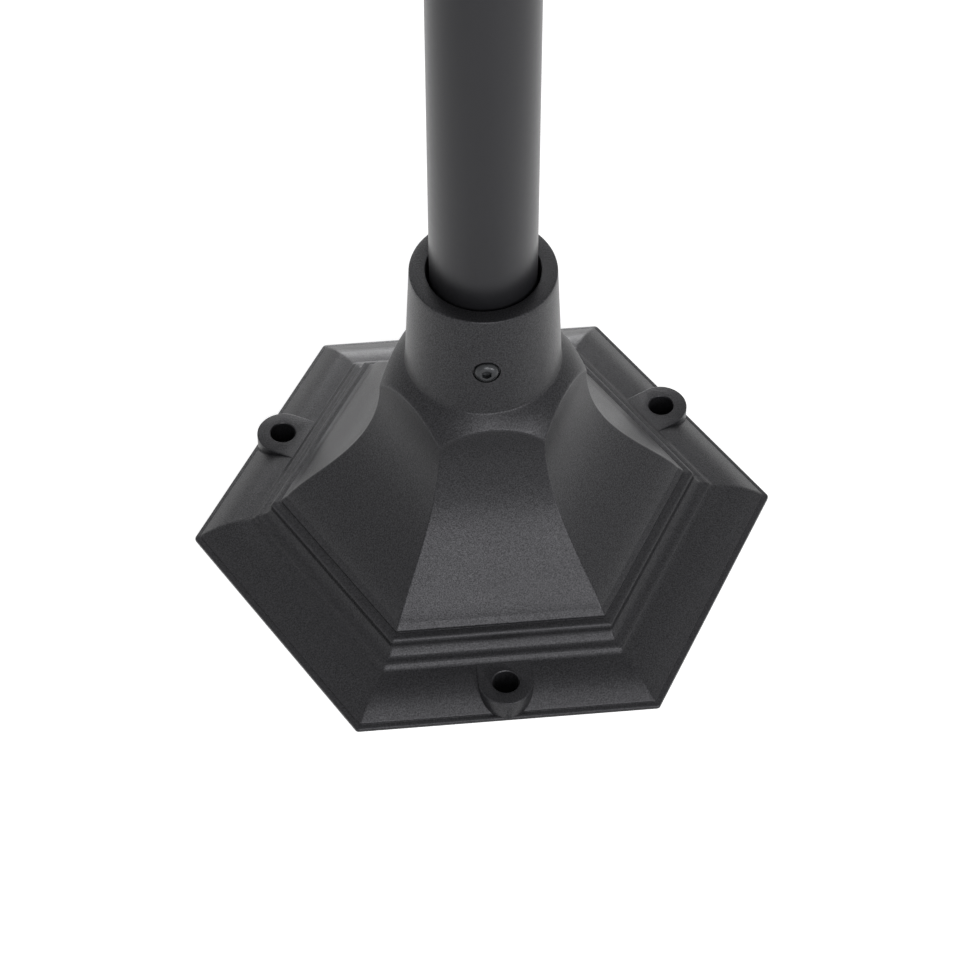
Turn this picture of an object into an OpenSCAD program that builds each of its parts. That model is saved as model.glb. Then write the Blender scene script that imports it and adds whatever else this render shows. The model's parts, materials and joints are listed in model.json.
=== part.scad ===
// Outdoor floor lamp: a cast six-sided foot, a round mast clamped in the foot's collar,
// and a six-sided lantern whose roof swings back on a hinge to reach the bulb.
// Millimetres, +Z up. The origin is the centre of the foot on the ground, with two corners of
// the hexagon on the X axis, so a flat side and a fixing lug face the front, -Y.

/* [Foot] */
// Corner radius of the foot on the ground
foot_r = 178; // [170:1:195]
// Height of the lip that stands on the ground
rim_h = 3.6; // [3:0.1:6]
// How far the lip stands out past the domed flange
rim_step = 3.7; // [2.5:0.1:5]
// Width of the domed flange, measured along a corner
flange_w = 33.3; // [30:0.1:37]
// Rise of the domed flange
flange_h = 12.2; // [10:0.1:15]
// Width of the stepped moulding, measured along a corner
mould_w = 19; // [15:0.5:23]
// Height of the stepped moulding
mould_h = 15.7; // [13:0.1:22]
// Height of the swept body above the moulding
sweep_h = 98; // [85:0.5:120]
// Thickness of the cast wall
foot_wall = 4.5; // [3.5:0.1:6]

/* [Collar] */
// Rise of the round shoulder from the corners of the body to the collar
shoulder_h = 19.1; // [16:0.1:24]
// Width of the round shoulder at the corners of the body
shoulder_w = 15.5; // [13:0.1:18]
// Height of the collar
collar_h = 71.4; // [60:0.1:90]
// Wall of the collar at its mouth
collar_wall = 9.6; // [7:0.1:12]
// How much the collar widens from its mouth to its foot
collar_draft = 3.4; // [2:0.1:5]
// Gap round the mast at the mouth of the collar
mouth_gap = 1.9; // [1.2:0.1:4]
// Running gap round the mast in its seat
seat_gap = 0.3; // [0.2:0.05:0.6]
// Height of the clamp screws above the foot of the collar
clamp_rise = 32.8; // [26:0.1:45]
// Turn of the clamp screws from the middle of the flat sides
clamp_turn = -3; // [-10:1:10]

/* [Fixing lugs] */
// Distance of each lug hole from the flat edge of the foot
lug_in = 16.4; // [16.4:0.1:18]
// Radius of each lug hole
lug_hole_r = 7.8; // [5:0.1:9]
// Radius of the lug round its hole
lug_r = 16.2; // [12:0.1:16.3]
// Height of each lug above the inner edge of the flange
lug_rise = 0.1; // [0:0.1:5]

/* [Mast] */
// Radius of the mast
mast_r = 30.7; // [28:0.1:32]
// Length of the mast, from its seat in the collar to its top
mast_len = 650; // [400:5:1800]
// Wall of the mast tube
mast_wall = 2.5; // [1.5:0.1:4]

/* [Lantern socket] */
// Depth of the socket that takes the top of the mast
socket_depth = 55; // [40:1:80]
// Wall of the socket at its mouth
socket_wall = 7.2; // [5:0.1:9]
// How much the socket widens from its mouth to its top
socket_taper = 3; // [1:0.1:4]
// Thickness of the shoulder that rests on the mast
shoulder_t = 12; // [10:0.5:16]
// Height of the swept part between socket and lantern floor
bowl_h = 46; // [40:1:60]
// Corner radius of the lantern floor
floor_r = 98; // [94:0.5:106]
// Thickness of the lantern floor's edge
floor_t = 14; // [12:0.5:18]

/* [Lantern cage] */
// Height of the glazed cage
cage_h = 240; // [210:1:300]
// Distance of the cage's corners from the floor's corners
cage_inset = 4; // [3:0.5:6]
// How much the cage widens to its head, measured along a corner
cage_spread = 46; // [30:0.5:54]
// Thickness of the cage wall, measured along a corner
cage_t = 9; // [8:0.5:11]
// Width of the bars beside each window
bar_w = 11; // [10:0.5:14]
// Height of the rail below each window
foot_rail = 16; // [15:0.5:24]
// Height of the rail above each window
head_rail = 18; // [16:0.5:24]
// Thickness of each glass pane
pane_t = 3; // [2:0.5:4]

/* [Roof] */
// How far the eaves reach past the head of the cage, measured along a corner
eaves_out = 13; // [11:0.5:18]
// Height of the eaves' edge
eaves_h = 9; // [7:0.5:12]
// Height of the swept roof above the eaves
roof_h = 84; // [70:1:110]
// Corner radius of the roof at its top
crown_r = 42; // [38:0.5:50]
// Wall of the roof
roof_wall = 4; // [3:0.5:6]
// How far the vent cap reaches past its neck
vent_brim = 12; // [8:0.5:16]
// Height of the finial above the vent cap
finial_h = 52; // [40:1:70]
// Radius of the finial's ball
finial_r = 13; // [10:0.5:15]

/* [Bulb] */
// Radius of the bulb's glass
bulb_r = 30; // [24:0.5:34]
// Length of the bulb's glass above its cap
bulb_len = 80; // [74:1:95]
// Radius of the bulb's screw cap
cap_r = 13.1; // [12.6:0.1:13.3]
// Height of the bulb's screw cap
cap_h = 26; // [22:0.5:28]

/* [Hidden] */

$fn = 96;
// Overrun of every cut past the face it leaves
over = 1;
// Gap between pieces that are assembled and don't move
fit = 0.2;
// Gap between a shaft and its hole
run = 0.08;
// Number of flat sides, and the angle between two of them
sides = 6;
side_turn = 60;
// Apothem of a hexagon as a share of its corner radius
flat_share = cos(30);
// Steps along a curve of an outline, and along a small one
curve_steps = 14;
small_steps = 8;
// Turns of the three lugs and their screws, seen from above, and the turn of the back
lug_turns = [270, 30, 150];
back_turn = 90;

// Levels and radii of the foot and collar
collar_chamfer = 0.8;
flange_r = foot_r - rim_step;
flange_z = rim_h + flange_h;
mould_r = flange_r - flange_w;
sweep_foot_r = mould_r - mould_w;
sweep_foot_z = flange_z + mould_h;
neck_z = sweep_foot_z + sweep_h;
collar_z = neck_z + shoulder_h;
collar_top = collar_z + collar_h;
collar_top_r = mast_r + mouth_gap + collar_wall;
collar_foot_r = collar_top_r + collar_draft;
neck_r = collar_foot_r + shoulder_w;

// Lip on the ground, as shares of rim_step inwards and rim_h upwards
rim_shares = [[0, 0], [0, 0.55], [0.4, 0.7], [1, 0.76], [1, 1]];
// Knee of the domed flange, as shares of its width inwards and its rise upwards
knee_shares = [0.46, 0.86];
knee_soft_share = 0.85;
// Stepped moulding, as shares of mould_w inwards and mould_h upwards
mould_shares = [[0, 0], [0, 0.1], [0.03, 0.16], [0.09, 0.2], [0.26, 0.21], [0.36, 0.28],
    [0.43, 0.36], [0.57, 0.55], [0.61, 0.62], [0.62, 0.83], [0.65, 0.88], [0.71, 0.9],
    [0.97, 0.92], [1, 0.94], [1, 1]];
// Handles of the swept body, as shares of its width and height
sweep_top_share = 0.57;
sweep_foot_shares = [0.19, 0.23];
// Handle of the shoulder, as shares of its width and height
shoulder_shares = [0.355, 0.59];

// Seat of the mast: how high it reaches in the collar, its depth, and the ledge under it
seat_rise = 16.4;
seat_h = 47;
seat_wall = 6;
ledge_t = 6;
ledge_in = 6;
seat_top = collar_z + seat_rise;
seat_z = seat_top - seat_h;
ledge_r = mast_r - ledge_in;
seat_out_r = mast_r + seat_gap + seat_wall;
// Gussets between the seat and the wall
gusset_t = 5;
gusset_rise = 45;
gusset_z = sweep_foot_z + gusset_rise;

// Lugs: how far the web runs in under the moulding, and how much it widens there
lug_root_in = 5;
lug_web_share = 1.02;
lug_fn = 32;
lug_pitch = foot_r * flat_share - lug_in;
lug_root = mould_r * flat_share - lug_root_in;
lug_h = flange_z + lug_rise;

// Clamp screws
screw_r = 4;
screw_head_r = 7;
screw_head_h = 4.4;
screw_socket_r = 2.9;
screw_socket_depth = 2.6;
spot_r = 8;
spot_depth = 2.2;
dome_low_share = 0.2;
dome_turn = 80;
clamp_z = collar_z + clamp_rise;
clamp_turns = [for (a = lug_turns) a + clamp_turn];
collar_fall = (collar_foot_r - collar_top_r) / collar_h;
spot_x = collar_foot_r - collar_fall * clamp_rise - spot_depth;
clamp_tip = mast_r + seat_gap;

// Earth screw in its boss on the foot's inner wall
earth_r = 2.5;
earth_len = 12;
earth_head_r = 4.5;
earth_head_h = 2.5;
earth_boss_r = 7;
earth_boss_h = 40;
earth_share = 0.25;
earth_rise = 20.5;
earth_x = (neck_r + earth_share * (sweep_foot_r - neck_r)) * flat_share;
earth_z = sweep_foot_z + earth_rise;

// Mast, the plug in its foot, the terminal block below the plug, and the lead
plug_h = 14;
plug_neck_r = 9;
plug_drop = 3;
lead_r = 4;
lead_gap = 0.15;
block_w = 32;
block_d = 18;
block_h = 16;
block_ways = 3;
block_pitch = 10;
block_bore_r = 2.6;
block_bore_z = 5;
block_entry = 5;
lead_in_block = 4;
block_screw_r = 2;
block_screw_h = 4;
block_screw_in = 3;
block_slot = 1;
mast_z = seat_z;
mast_top = mast_z + mast_len;
mast_bore_r = mast_r - mast_wall;
block_z = mast_z - plug_drop - block_h;

// Lantern socket and floor
cup_foot_r = 26;
cup_wall = 20;
bowl_hole_r = 20;
bowl_lip_in = 20;
bowl_sink = 3;
bowl_start = 6;
bowl_handle_share = 0.6;
socket_screw_r = 3;
socket_screw_len = 12;
socket_screw_share = 0.4;
socket_key_r = 1.5;
socket_key_depth = 3;
socket_z = mast_top - socket_depth;
socket_r = mast_r + fit + socket_wall;
socket_top_r = socket_r + socket_taper;
socket_screw_z = socket_z + socket_depth * socket_screw_share;
bowl_foot_r = socket_top_r / flat_share + fit;
bowl_z = mast_top + bowl_start;
bowl_top = bowl_z + bowl_h;
bowl_lip_r = floor_r - bowl_lip_in;
floor_z = bowl_top + floor_t;
cup_z = mast_top + shoulder_t;
cup_top_r = bowl_lip_r - cup_wall;
// Edge of the lantern floor, as shares of its overhang outwards and floor_t upwards
floor_shares = [[0.1, 0.02], [0.22, 0.08], [0.28, 0.18], [0.6, 0.22], [0.8, 0.3], [0.92, 0.45],
    [1, 0.62], [1, 1]];

// Cage and the screws that hold it down
cage_screw_r = 2;
cage_screw_len = 18;
cage_screw_head_r = 3.8;
cage_screw_head_h = 2.4;
cage_screw_sink = 4;
ring_h = 8;
ring_out = 4;
ring_in = 24;
cage_foot_r = floor_r - cage_inset;
cage_head_r = cage_foot_r + cage_spread;
cage_z = floor_z;
cage_top = cage_z + cage_h;
cage_lean = cage_spread / cage_h;
face_tilt = atan(cage_lean * flat_share);
face_len = cage_h / cos(face_tilt);
cage_screw_x = cage_foot_r - cage_t / 2;
cage_screw_z = bowl_top + cage_screw_sink;

// Panes, tray and keeper, with their small screws
pane_edge = 0.6;
pane_foot = 0.9;
pane_head = ring_h + over;
tray_t = 2;
tray_rim = 14;
tray_screw_out = 6;
keeper_t = 2;
keeper_h = 16;
keeper_leg = 9;
small_r = 1.5;
small_head_r = 2.8;
small_head_h = 1.8;
small_grip = 5;
slot_share = 0.35;
tray_r = cage_foot_r - cage_t - (pane_t + 2 * fit) / flat_share;
tray_top = floor_z + tray_t;
tray_screw_x = cup_top_r + tray_screw_out;
keeper_z = cage_top - ring_h;
keeper_r = cage_head_r - cage_t - (pane_t + 2 * fit) / flat_share - cage_lean * ring_h;
keeper_screw_x = keeper_r - keeper_t - keeper_leg / 2;

// Gland, bracket and lamp holder
gland_r = 9;
gland_hex_r = 12;
gland_hex_h = 5;
gland_below = 9;
gland_cone_h = 9;
gland_tip_wall = 2;
gland_nut_h = 5;
gland_nut_r = 13;
bracket_w = 24;
bracket_t = 2;
bracket_rise = 26;
bracket_span = 56;
bracket_foot = 14;
bracket_hole = 2;
holder_wall = 6.5;
holder_draft = 2.5;
holder_step = 1;
holder_foot_h = 14;
holder_base = 20;
holder_lip = 4;
holder_lead_depth = 6;
shell_t = 0.6;
shell_gap = 0.4;
shell_out = 2.4;
contact_r = 5;
contact_tip_r = 4;
contact_h = 3;
cap_rest = 0.5;
bracket_screw_x = (bracket_span + bracket_foot) / 2;
holder_bore_r = cap_r + shell_gap + shell_t + shell_out;
holder_r = holder_bore_r + holder_wall;
holder_top_r = holder_r - holder_draft;
holder_z = tray_top + bracket_rise;
holder_floor = holder_z + holder_base;
shell_h = cap_h - cap_rest;
holder_h = holder_base + shell_h + holder_lip;
cap_z = holder_floor + contact_h + cap_rest;

// Bulb: screw cap, glass, stem and filaments
thread_turns = 5;
thread_depth = 0.5;
thread_z = 6;
cap_rim = 3;
cap_chamfer = 2;
cap_tip_h = 2.8;
cap_tip_out = 1;
glass_gap = 0.2;
glass_t = 1;
glass_neck_in = 0.5;
// Handles of the glass and the height of its stem and filaments, as shares of its length
glass_neck_shares = [0.2, 0.21];
stem_share = 0.3;
post_share = 0.42;
stem_r = 6;
stem_top_r = 3.5;
post_r = 1.4;
filament_r = 0.9;
filament_out = 3;
filament_lean = 14;
filament_fn = 24;
filaments = 4;
glass_z = cap_z + cap_h;

// Roof, its gasket and its hinge
gasket_t = 2;
gasket_edge = 2;
skirt_drop = 4;
skirt_t = 6;
land_in = 14;
crown_h = 6;
crown_lip = 9;
vent_holes = 6;
vent_hole_r = 5;
hinge_r = 6;
hinge_pin_r = 3;
hinge_out = 9.7;
hinge_drop = 4;
hinge_half = 17.5;
hinge_gap = 0.5;
hinge_ear = 10;
hinge_arm_h = 4;
pin_head_r = 4.5;
pin_head_t = 2;
// Handles of the swept roof, as shares of its width and height
roof_foot_shares = [0.5, 0.05];
roof_top_shares = [0.88, 0.45];
eaves_r = cage_head_r + ring_out + eaves_out;
roof_z = cage_top + gasket_t;
roof_foot_z = roof_z + eaves_h - skirt_drop;
crown_z = roof_foot_z + roof_h;
land_r = cage_head_r - land_in;
hinge_y = eaves_r * flat_share + hinge_out;
hinge_z = cage_top - hinge_drop;

// Thumb screw at the front of the roof
thumb_r = 2.5;
thumb_head_r = 7;
thumb_head_t = 9;
thumb_boss_r = 6;
thumb_boss_t = 8;
thumb_gap = 1;
thumb_drop = 1.5;
thumb_flutes = 16;
flute_r = 0.8;
flute_fn = 16;
thumb_z = cage_top - thumb_drop;
thumb_tip = (cage_head_r + ring_out) * flat_share + seat_gap;
thumb_out = eaves_r * flat_share + thumb_gap;

// Vent cap, finial and the nut on its stud
vent_neck_h = 22;
vent_edge_h = 5;
vent_dome_h = 13;
vent_wall = 2;
vent_bevel = 2;
vent_slots = 12;
vent_slot_w = 5;
vent_slot_h = 10;
vent_slot_rise = 2;
stud_r = 4;
stud_out = 4;
finial_nut_r = 7.5;
finial_nut_h = 6;
finial_tip_r = 1.2;
stud_drop = roof_wall + finial_nut_h + stud_out;
vent_hole_pitch = finial_nut_r + vent_hole_r + vent_wall;
vent_neck_r = crown_r * flat_share - crown_lip;
vent_r = vent_neck_r + vent_brim;
vent_top = vent_neck_h + vent_edge_h + vent_dome_h;
finial_z = crown_z + vent_top;
// Foot and stem of the finial, as shares of its ball's radius and its height
finial_shares = [[0, 0], [0.77, 0], [0.77, 0.04], [0.46, 0.1], [0.38, 0.17], [0.38, 0.27],
    [0.62, 0.31], [0.62, 0.35], [0.46, 0.37]];
ball_share = 0.6;
ball_start = -62;
ball_sweep = 134;

// Point at share t of a curve from a to its end, with one or two handles.
function bend1(a, b, c, t) = (1 - t) * (1 - t) * a + 2 * t * (1 - t) * b + t * t * c;
function bend2(a, b, c, d, t) =
    pow(1 - t, 3) * a + 3 * t * pow(1 - t, 2) * b + 3 * t * t * (1 - t) * c + t * t * t * d;
function steps(n) = [for (i = [0:n]) i / n];
function reversed(list) = [for (i = [len(list) - 1:-1:0]) list[i]];

// Outline of the foot, from the ground to its neck. A corner radius and a height make each point.
function rim_curve() = [for (s = rim_shares) [foot_r - s[0] * rim_step, s[1] * rim_h]];
function flange_curve() =
    let (low = [flange_r, rim_h], high = [mould_r, flange_z],
        knee = [flange_r - knee_shares[0] * flange_w, rim_h + knee_shares[1] * flange_h])
    [for (t = steps(curve_steps))
        bend2(low, low + knee_soft_share * (knee - low), high + knee_soft_share * (knee - high), high, t)];
function mould_curve() =
    [for (s = mould_shares) [mould_r - s[0] * mould_w, flange_z + s[1] * mould_h]];
function sweep_curve() =
    let (foot_handle = [sweep_foot_r - sweep_foot_shares[0] * (sweep_foot_r - neck_r),
            sweep_foot_z + sweep_foot_shares[1] * sweep_h],
        top_handle = [neck_r, neck_z - sweep_top_share * sweep_h])
    [for (t = steps(curve_steps))
        bend2([sweep_foot_r, sweep_foot_z], foot_handle, top_handle, [neck_r, neck_z], t)];
function shoulder_curve() =
    let (handle = [neck_r - shoulder_shares[0] * shoulder_w, neck_z + shoulder_shares[1] * shoulder_h])
    [for (t = steps(curve_steps)) bend1([neck_r, neck_z], handle, [collar_foot_r, collar_z], t)];

// A solid of six flat sides from an outline of corner radii and heights.
module six_sided(outline) {
    rotate_extrude($fn = sides) polygon(outline);
}

// Copies of a piece on the six sides, on the six corners, and at the three lugs.
module on_sides() {
    for (i = [0:sides - 1]) rotate((i + 1 / 2) * side_turn) children();
}
module on_corners() {
    for (i = [0:sides - 1]) rotate(i * side_turn) children();
}
module on_lugs() {
    for (a = lug_turns) rotate(a) children();
}

// A small slotted screw along Z, its head up, with the underside of its head at the origin.
module slotted_screw(len, r, head_r, head_h) {
    difference() {
        union() {
            translate([0, 0, -len]) cylinder(r = r, h = len);
            cylinder(r = head_r, h = head_h);
        }
        translate([0, 0, head_h]) cube([3 * head_r, slot_share * head_r, head_h], center = true);
    }
}

// Foot
module foot_body() {
    intersection() {
        six_sided(concat([[0, 0]], rim_curve(), flange_curve(), mould_curve(), sweep_curve(),
            [[neck_r, collar_z], [0, collar_z]]));
        rotate_extrude() polygon(concat([[0, -over], [foot_r + over, -over],
            [foot_r + over, neck_z - over], [neck_r + over, neck_z - over]], shoulder_curve(),
            [[0, collar_z]]));
    }
    rotate_extrude() polygon([[0, collar_z - over], [collar_foot_r, collar_z - over],
        [collar_foot_r, collar_z], [collar_top_r + collar_fall * collar_chamfer, collar_top - collar_chamfer],
        [collar_top_r - collar_chamfer, collar_top], [0, collar_top]]);
}

// Hollow under the foot: the outline moved in and down by the wall, round the mast's seat.
module foot_hollow() {
    difference() {
        six_sided(concat([[0, -over], [flange_r - foot_wall, -over]],
            [for (p = flange_curve()) [p[0] - foot_wall, max(p[1] - foot_wall, 0)]],
            [for (p = sweep_curve()) p - [foot_wall, foot_wall]],
            [[0, neck_z - foot_wall]]));
        translate([0, 0, seat_z - ledge_t]) cylinder(r = seat_out_r, h = neck_z);
        on_corners() translate([seat_out_r - over, -gusset_t / 2, gusset_z])
            cube([sweep_foot_r, gusset_t, sweep_h]);
        rotate(back_turn) translate([earth_x, 0, earth_z]) cylinder(r = earth_boss_r, h = earth_boss_h);
    }
}

module lug() {
    hull() {
        translate([lug_pitch, 0, 0]) cylinder(r = lug_r, h = lug_h, $fn = lug_fn);
        translate([lug_root, -lug_r * lug_web_share, 0])
            cube([over, 2 * lug_r * lug_web_share, lug_h]);
    }
}

module base_casting() {
    color("#3d3e40") difference() {
        union() {
            difference() {
                foot_body();
                foot_hollow();
            }
            on_lugs() lug();
        }
        on_lugs() translate([lug_pitch, 0, -over]) cylinder(r = lug_hole_r, h = lug_h + 2 * over);
        translate([0, 0, seat_top]) cylinder(r = mast_r + mouth_gap, h = collar_h);
        translate([0, 0, seat_z]) cylinder(r = mast_r + seat_gap, h = collar_h);
        translate([0, 0, seat_z - ledge_t - over]) cylinder(r = ledge_r, h = collar_h);
        for (a = clamp_turns) rotate(a) translate([0, 0, clamp_z]) rotate([0, 90, 0]) {
            cylinder(r = screw_r + run, h = foot_r);
            translate([0, 0, spot_x]) cylinder(r = spot_r, h = foot_r);
        }
        rotate(back_turn) translate([earth_x, 0, earth_z - over]) cylinder(r = earth_r, h = earth_len + over);
    }
}

module earth_screw() {
    color("#b8a05a") rotate(back_turn) translate([earth_x, 0, earth_z]) mirror([0, 0, 1])
        slotted_screw(earth_len - over, earth_r - run / 2, earth_head_r, earth_head_h);
}

// Clamp screw: a shank along its own Z, a domed head and a hexagonal socket.
module clamp_screw(turn) {
    len = spot_x + fit - clamp_tip;
    dome = [for (t = steps(small_steps)) [screw_head_r * cos(dome_turn * t),
        screw_head_h * (dome_low_share + (1 - dome_low_share) * sin(90 * t))]];
    color("#2c2c2e") rotate(turn) translate([clamp_tip, 0, clamp_z]) rotate([0, 90, 0]) difference() {
        union() {
            cylinder(r = screw_r, h = len);
            translate([0, 0, len])
                rotate_extrude() polygon(concat([[0, 0], [screw_head_r, 0]], dome, [[0, screw_head_h]]));
        }
        translate([0, 0, len + screw_head_h - screw_socket_depth])
            cylinder(r = screw_socket_r, h = screw_socket_depth + over, $fn = sides);
    }
}
module clamp_screw_front() clamp_screw(clamp_turns[0]);
module clamp_screw_right() clamp_screw(clamp_turns[1]);
module clamp_screw_left() clamp_screw(clamp_turns[2]);

// Mast and what it holds
module mast_tube() {
    color("#47484b") translate([0, 0, mast_z]) difference() {
        cylinder(r = mast_r, h = mast_len);
        translate([0, 0, -over]) cylinder(r = mast_bore_r, h = mast_len + 2 * over);
    }
}

module mast_plug() {
    color("#222222") difference() {
        union() {
            translate([0, 0, mast_z]) cylinder(r = mast_bore_r - fit, h = plug_h);
            translate([0, 0, mast_z - plug_drop]) cylinder(r = plug_neck_r, h = plug_drop + over);
        }
        translate([0, 0, mast_z - plug_drop - over])
            cylinder(r = lead_r + lead_gap, h = plug_drop + plug_h + 2 * over);
    }
}

module terminal_block() {
    color("#e8e4d8") translate([0, 0, block_z]) difference() {
        translate([-block_w / 2, -block_d / 2, 0]) cube([block_w, block_d, block_h]);
        for (i = [0:block_ways - 1]) translate([(i - 1) * block_pitch, 0, 0]) {
            translate([0, -block_d, block_bore_z]) rotate([-90, 0, 0])
                cylinder(r = block_bore_r, h = 2 * block_d);
            for (s = [-1, 1]) translate([0, s * block_d / 4, -over])
                cylinder(r = block_screw_r + run, h = block_bore_z + over);
        }
        translate([0, 0, block_h - block_entry]) cylinder(r = lead_r + lead_gap, h = block_entry + over);
    }
}

module terminal_screws() {
    color("#c8c8c8") translate([0, 0, block_z])
        for (i = [0:block_ways - 1], s = [-1, 1])
            translate([(i - 1) * block_pitch, s * block_d / 4, block_screw_in - block_screw_h]) difference() {
                cylinder(r = block_screw_r, h = block_screw_h);
                cube([3 * block_screw_r, block_slot, 2 * block_slot], center = true);
            }
}

module mast_lead() {
    foot = block_z + block_h - lead_in_block;
    color("#1c1c1c") translate([0, 0, foot])
        cylinder(r = lead_r, h = holder_z + holder_lead_depth - over - foot);
}

// Lantern socket with the lantern's floor
module lantern_socket() {
    foot = [bowl_foot_r, bowl_z];
    lip = [bowl_lip_r, bowl_top];
    bowl_w = bowl_lip_r - bowl_foot_r;
    color("#3d3e40") difference() {
        union() {
            translate([0, 0, socket_z]) cylinder(r1 = socket_r, r2 = socket_top_r, h = bowl_z - socket_z);
            six_sided(concat([[0, bowl_z - bowl_sink], [bowl_foot_r, bowl_z - bowl_sink]],
                [for (t = steps(curve_steps)) bend2(foot, foot + [0, bowl_handle_share * bowl_h],
                    lip - [bowl_handle_share * bowl_w, 0], lip, t)],
                [for (s = floor_shares) [bowl_lip_r + s[0] * bowl_lip_in, bowl_top + s[1] * floor_t]],
                [[0, floor_z]]));
        }
        translate([0, 0, socket_z - over]) cylinder(r = mast_r + fit, h = socket_depth + over);
        translate([0, 0, mast_top - over]) cylinder(r = bowl_hole_r, h = shoulder_t + 2 * over);
        translate([0, 0, cup_z]) cylinder(r1 = cup_foot_r, r2 = cup_top_r, h = floor_z - cup_z);
        translate([0, 0, floor_z - over]) cylinder(r = cup_top_r, h = 2 * over);
        on_lugs() translate([0, 0, socket_screw_z]) rotate([0, 90, 0])
            cylinder(r = socket_screw_r + run / 2, h = foot_r);
        on_corners() translate([cage_screw_x, 0, cage_screw_z]) {
            translate([0, 0, -over]) cylinder(r = cage_screw_r + run, h = floor_t);
            translate([0, 0, -floor_t]) cylinder(r = cage_screw_head_r + fit, h = floor_t);
        }
        on_lugs() translate([tray_screw_x, 0, floor_z - small_grip - over])
            cylinder(r = small_r + run / 2, h = small_grip + 2 * over);
    }
}

module socket_screws() {
    color("#2c2c2e") on_lugs() translate([mast_r + run, 0, socket_screw_z]) rotate([0, 90, 0]) difference() {
        cylinder(r = socket_screw_r, h = socket_screw_len);
        translate([0, 0, socket_screw_len - socket_key_depth])
            cylinder(r = socket_key_r, h = socket_key_depth + over, $fn = sides);
    }
}

// A place in the plane of a side: X points outwards, Y along the side, Z up the leaning side.
module on_face(inset) {
    translate([(cage_foot_r - inset) * flat_share, 0, cage_z]) rotate([0, face_tilt, 0]) children();
}
// A plate in that plane, from its half widths at foot and head, and where it starts and ends.
module face_plate(half_foot, half_head, low, high, thick) {
    rotate([90, 0, 90]) linear_extrude(height = thick)
        polygon([[-half_foot, low], [half_foot, low], [half_head, high], [-half_head, high]]);
}
// Half the width of a side, at a height along it, for a corner radius at its foot
function half_side(r, s) = (r + cage_lean * s * cos(face_tilt)) / 2;

// Bore for the pin of the roof's hinge, through the cage's ears and the roof's knuckle
module hinge_bore() {
    translate([-foot_r, hinge_y, hinge_z]) rotate([0, 90, 0])
        cylinder(r = hinge_pin_r + run, h = 2 * foot_r);
}

module lantern_cage() {
    high = face_len - head_rail;
    color("#3d3e40") difference() {
        union() {
            difference() {
                six_sided([[cage_foot_r - cage_t, cage_z], [cage_foot_r, cage_z], [cage_head_r, cage_top],
                    [cage_head_r - cage_t, cage_top]]);
                on_sides() on_face(cage_t / 2) translate([-2 * cage_t, 0, 0])
                    face_plate(half_side(cage_foot_r, foot_rail) - bar_w,
                        half_side(cage_foot_r, high) - bar_w, foot_rail, high, 4 * cage_t);
            }
            six_sided([[cage_head_r - ring_in, keeper_z], [cage_head_r + ring_out, keeper_z],
                [cage_head_r + ring_out, cage_top], [cage_head_r - ring_in, cage_top]]);
            for (s = [-1, 1]) hinge_arm(s);
        }
        hinge_bore();
        on_corners() translate([cage_screw_x, 0, cage_z - over])
            cylinder(r = cage_screw_r + run / 2, h = cage_screw_len - floor_t + cage_screw_sink + 2 * over);
        on_corners() translate([keeper_screw_x, 0, keeper_z - over])
            cylinder(r = small_r + run / 2, h = small_grip + 2 * over);
    }
}

// One of the two ears of the roof's hinge, carried out from the back of the head ring.
module hinge_arm(s) {
    x = s * (hinge_half + hinge_gap + hinge_ear / 2) - hinge_ear / 2;
    ring_y = cage_head_r * flat_share;
    translate([x, ring_y, keeper_z]) cube([hinge_ear, hinge_y - ring_y, hinge_arm_h]);
    translate([x, hinge_y, hinge_z]) rotate([0, 90, 0]) cylinder(r = hinge_r, h = hinge_ear);
}

module hinge_pin() {
    half = hinge_half + hinge_gap + hinge_ear + fit;
    color("#9a9a98") translate([0, hinge_y, hinge_z]) rotate([0, 90, 0]) {
        translate([0, 0, -half]) cylinder(r = hinge_pin_r, h = 2 * half);
        for (s = [-1, 1]) translate([0, 0, s * (half + pin_head_t / 2)])
            cylinder(r = pin_head_r, h = pin_head_t, center = true);
    }
}

module cage_screws() {
    color("#9a9a98") on_corners() translate([cage_screw_x, 0, cage_screw_z]) mirror([0, 0, 1])
        slotted_screw(cage_screw_len, cage_screw_r, cage_screw_head_r, cage_screw_head_h);
}

// Glass: each pane lies behind its window, from the floor to just under the head ring.
module pane(i) {
    inset = cage_t + (fit + pane_t) / flat_share;
    high = face_len - pane_head;
    color("#cfd8dc", 0.35) rotate((i - 3 / 2) * side_turn) on_face(inset)
        face_plate(half_side(cage_foot_r - inset, pane_foot) - pane_edge,
            half_side(cage_foot_r - inset, high) - pane_edge, pane_foot, high, pane_t);
}
module pane_front() pane(0);
module pane_front_right() pane(1);
module pane_back_right() pane(2);
module pane_back() pane(3);
module pane_back_left() pane(4);
module pane_front_left() pane(5);

// Tray on the lantern's floor, whose turned-up edge holds the panes' feet.
module floor_tray() {
    color("#3d3e40") difference() {
        union() {
            six_sided([[0, floor_z], [tray_r, floor_z],
                [tray_r + cage_lean * tray_t, tray_top], [0, tray_top]]);
            six_sided([[tray_r - tray_t, floor_z], [tray_r, floor_z],
                [tray_r + cage_lean * tray_rim, floor_z + tray_rim],
                [tray_r - tray_t + cage_lean * tray_rim, floor_z + tray_rim]]);
        }
        translate([0, 0, floor_z - over]) cylinder(r = gland_r + fit, h = tray_t + 2 * over);
        on_lugs() translate([tray_screw_x, 0, floor_z - over])
            cylinder(r = small_r + run, h = tray_t + 2 * over);
        for (s = [-1, 1]) translate([s * bracket_screw_x, 0, floor_z - over])
            cylinder(r = small_r + run / 2, h = tray_t + 2 * over);
    }
}

module tray_screws() {
    color("#9a9a98") on_lugs() translate([tray_screw_x, 0, tray_top])
        slotted_screw(tray_t + small_grip, small_r, small_head_r, small_head_h);
}

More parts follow.
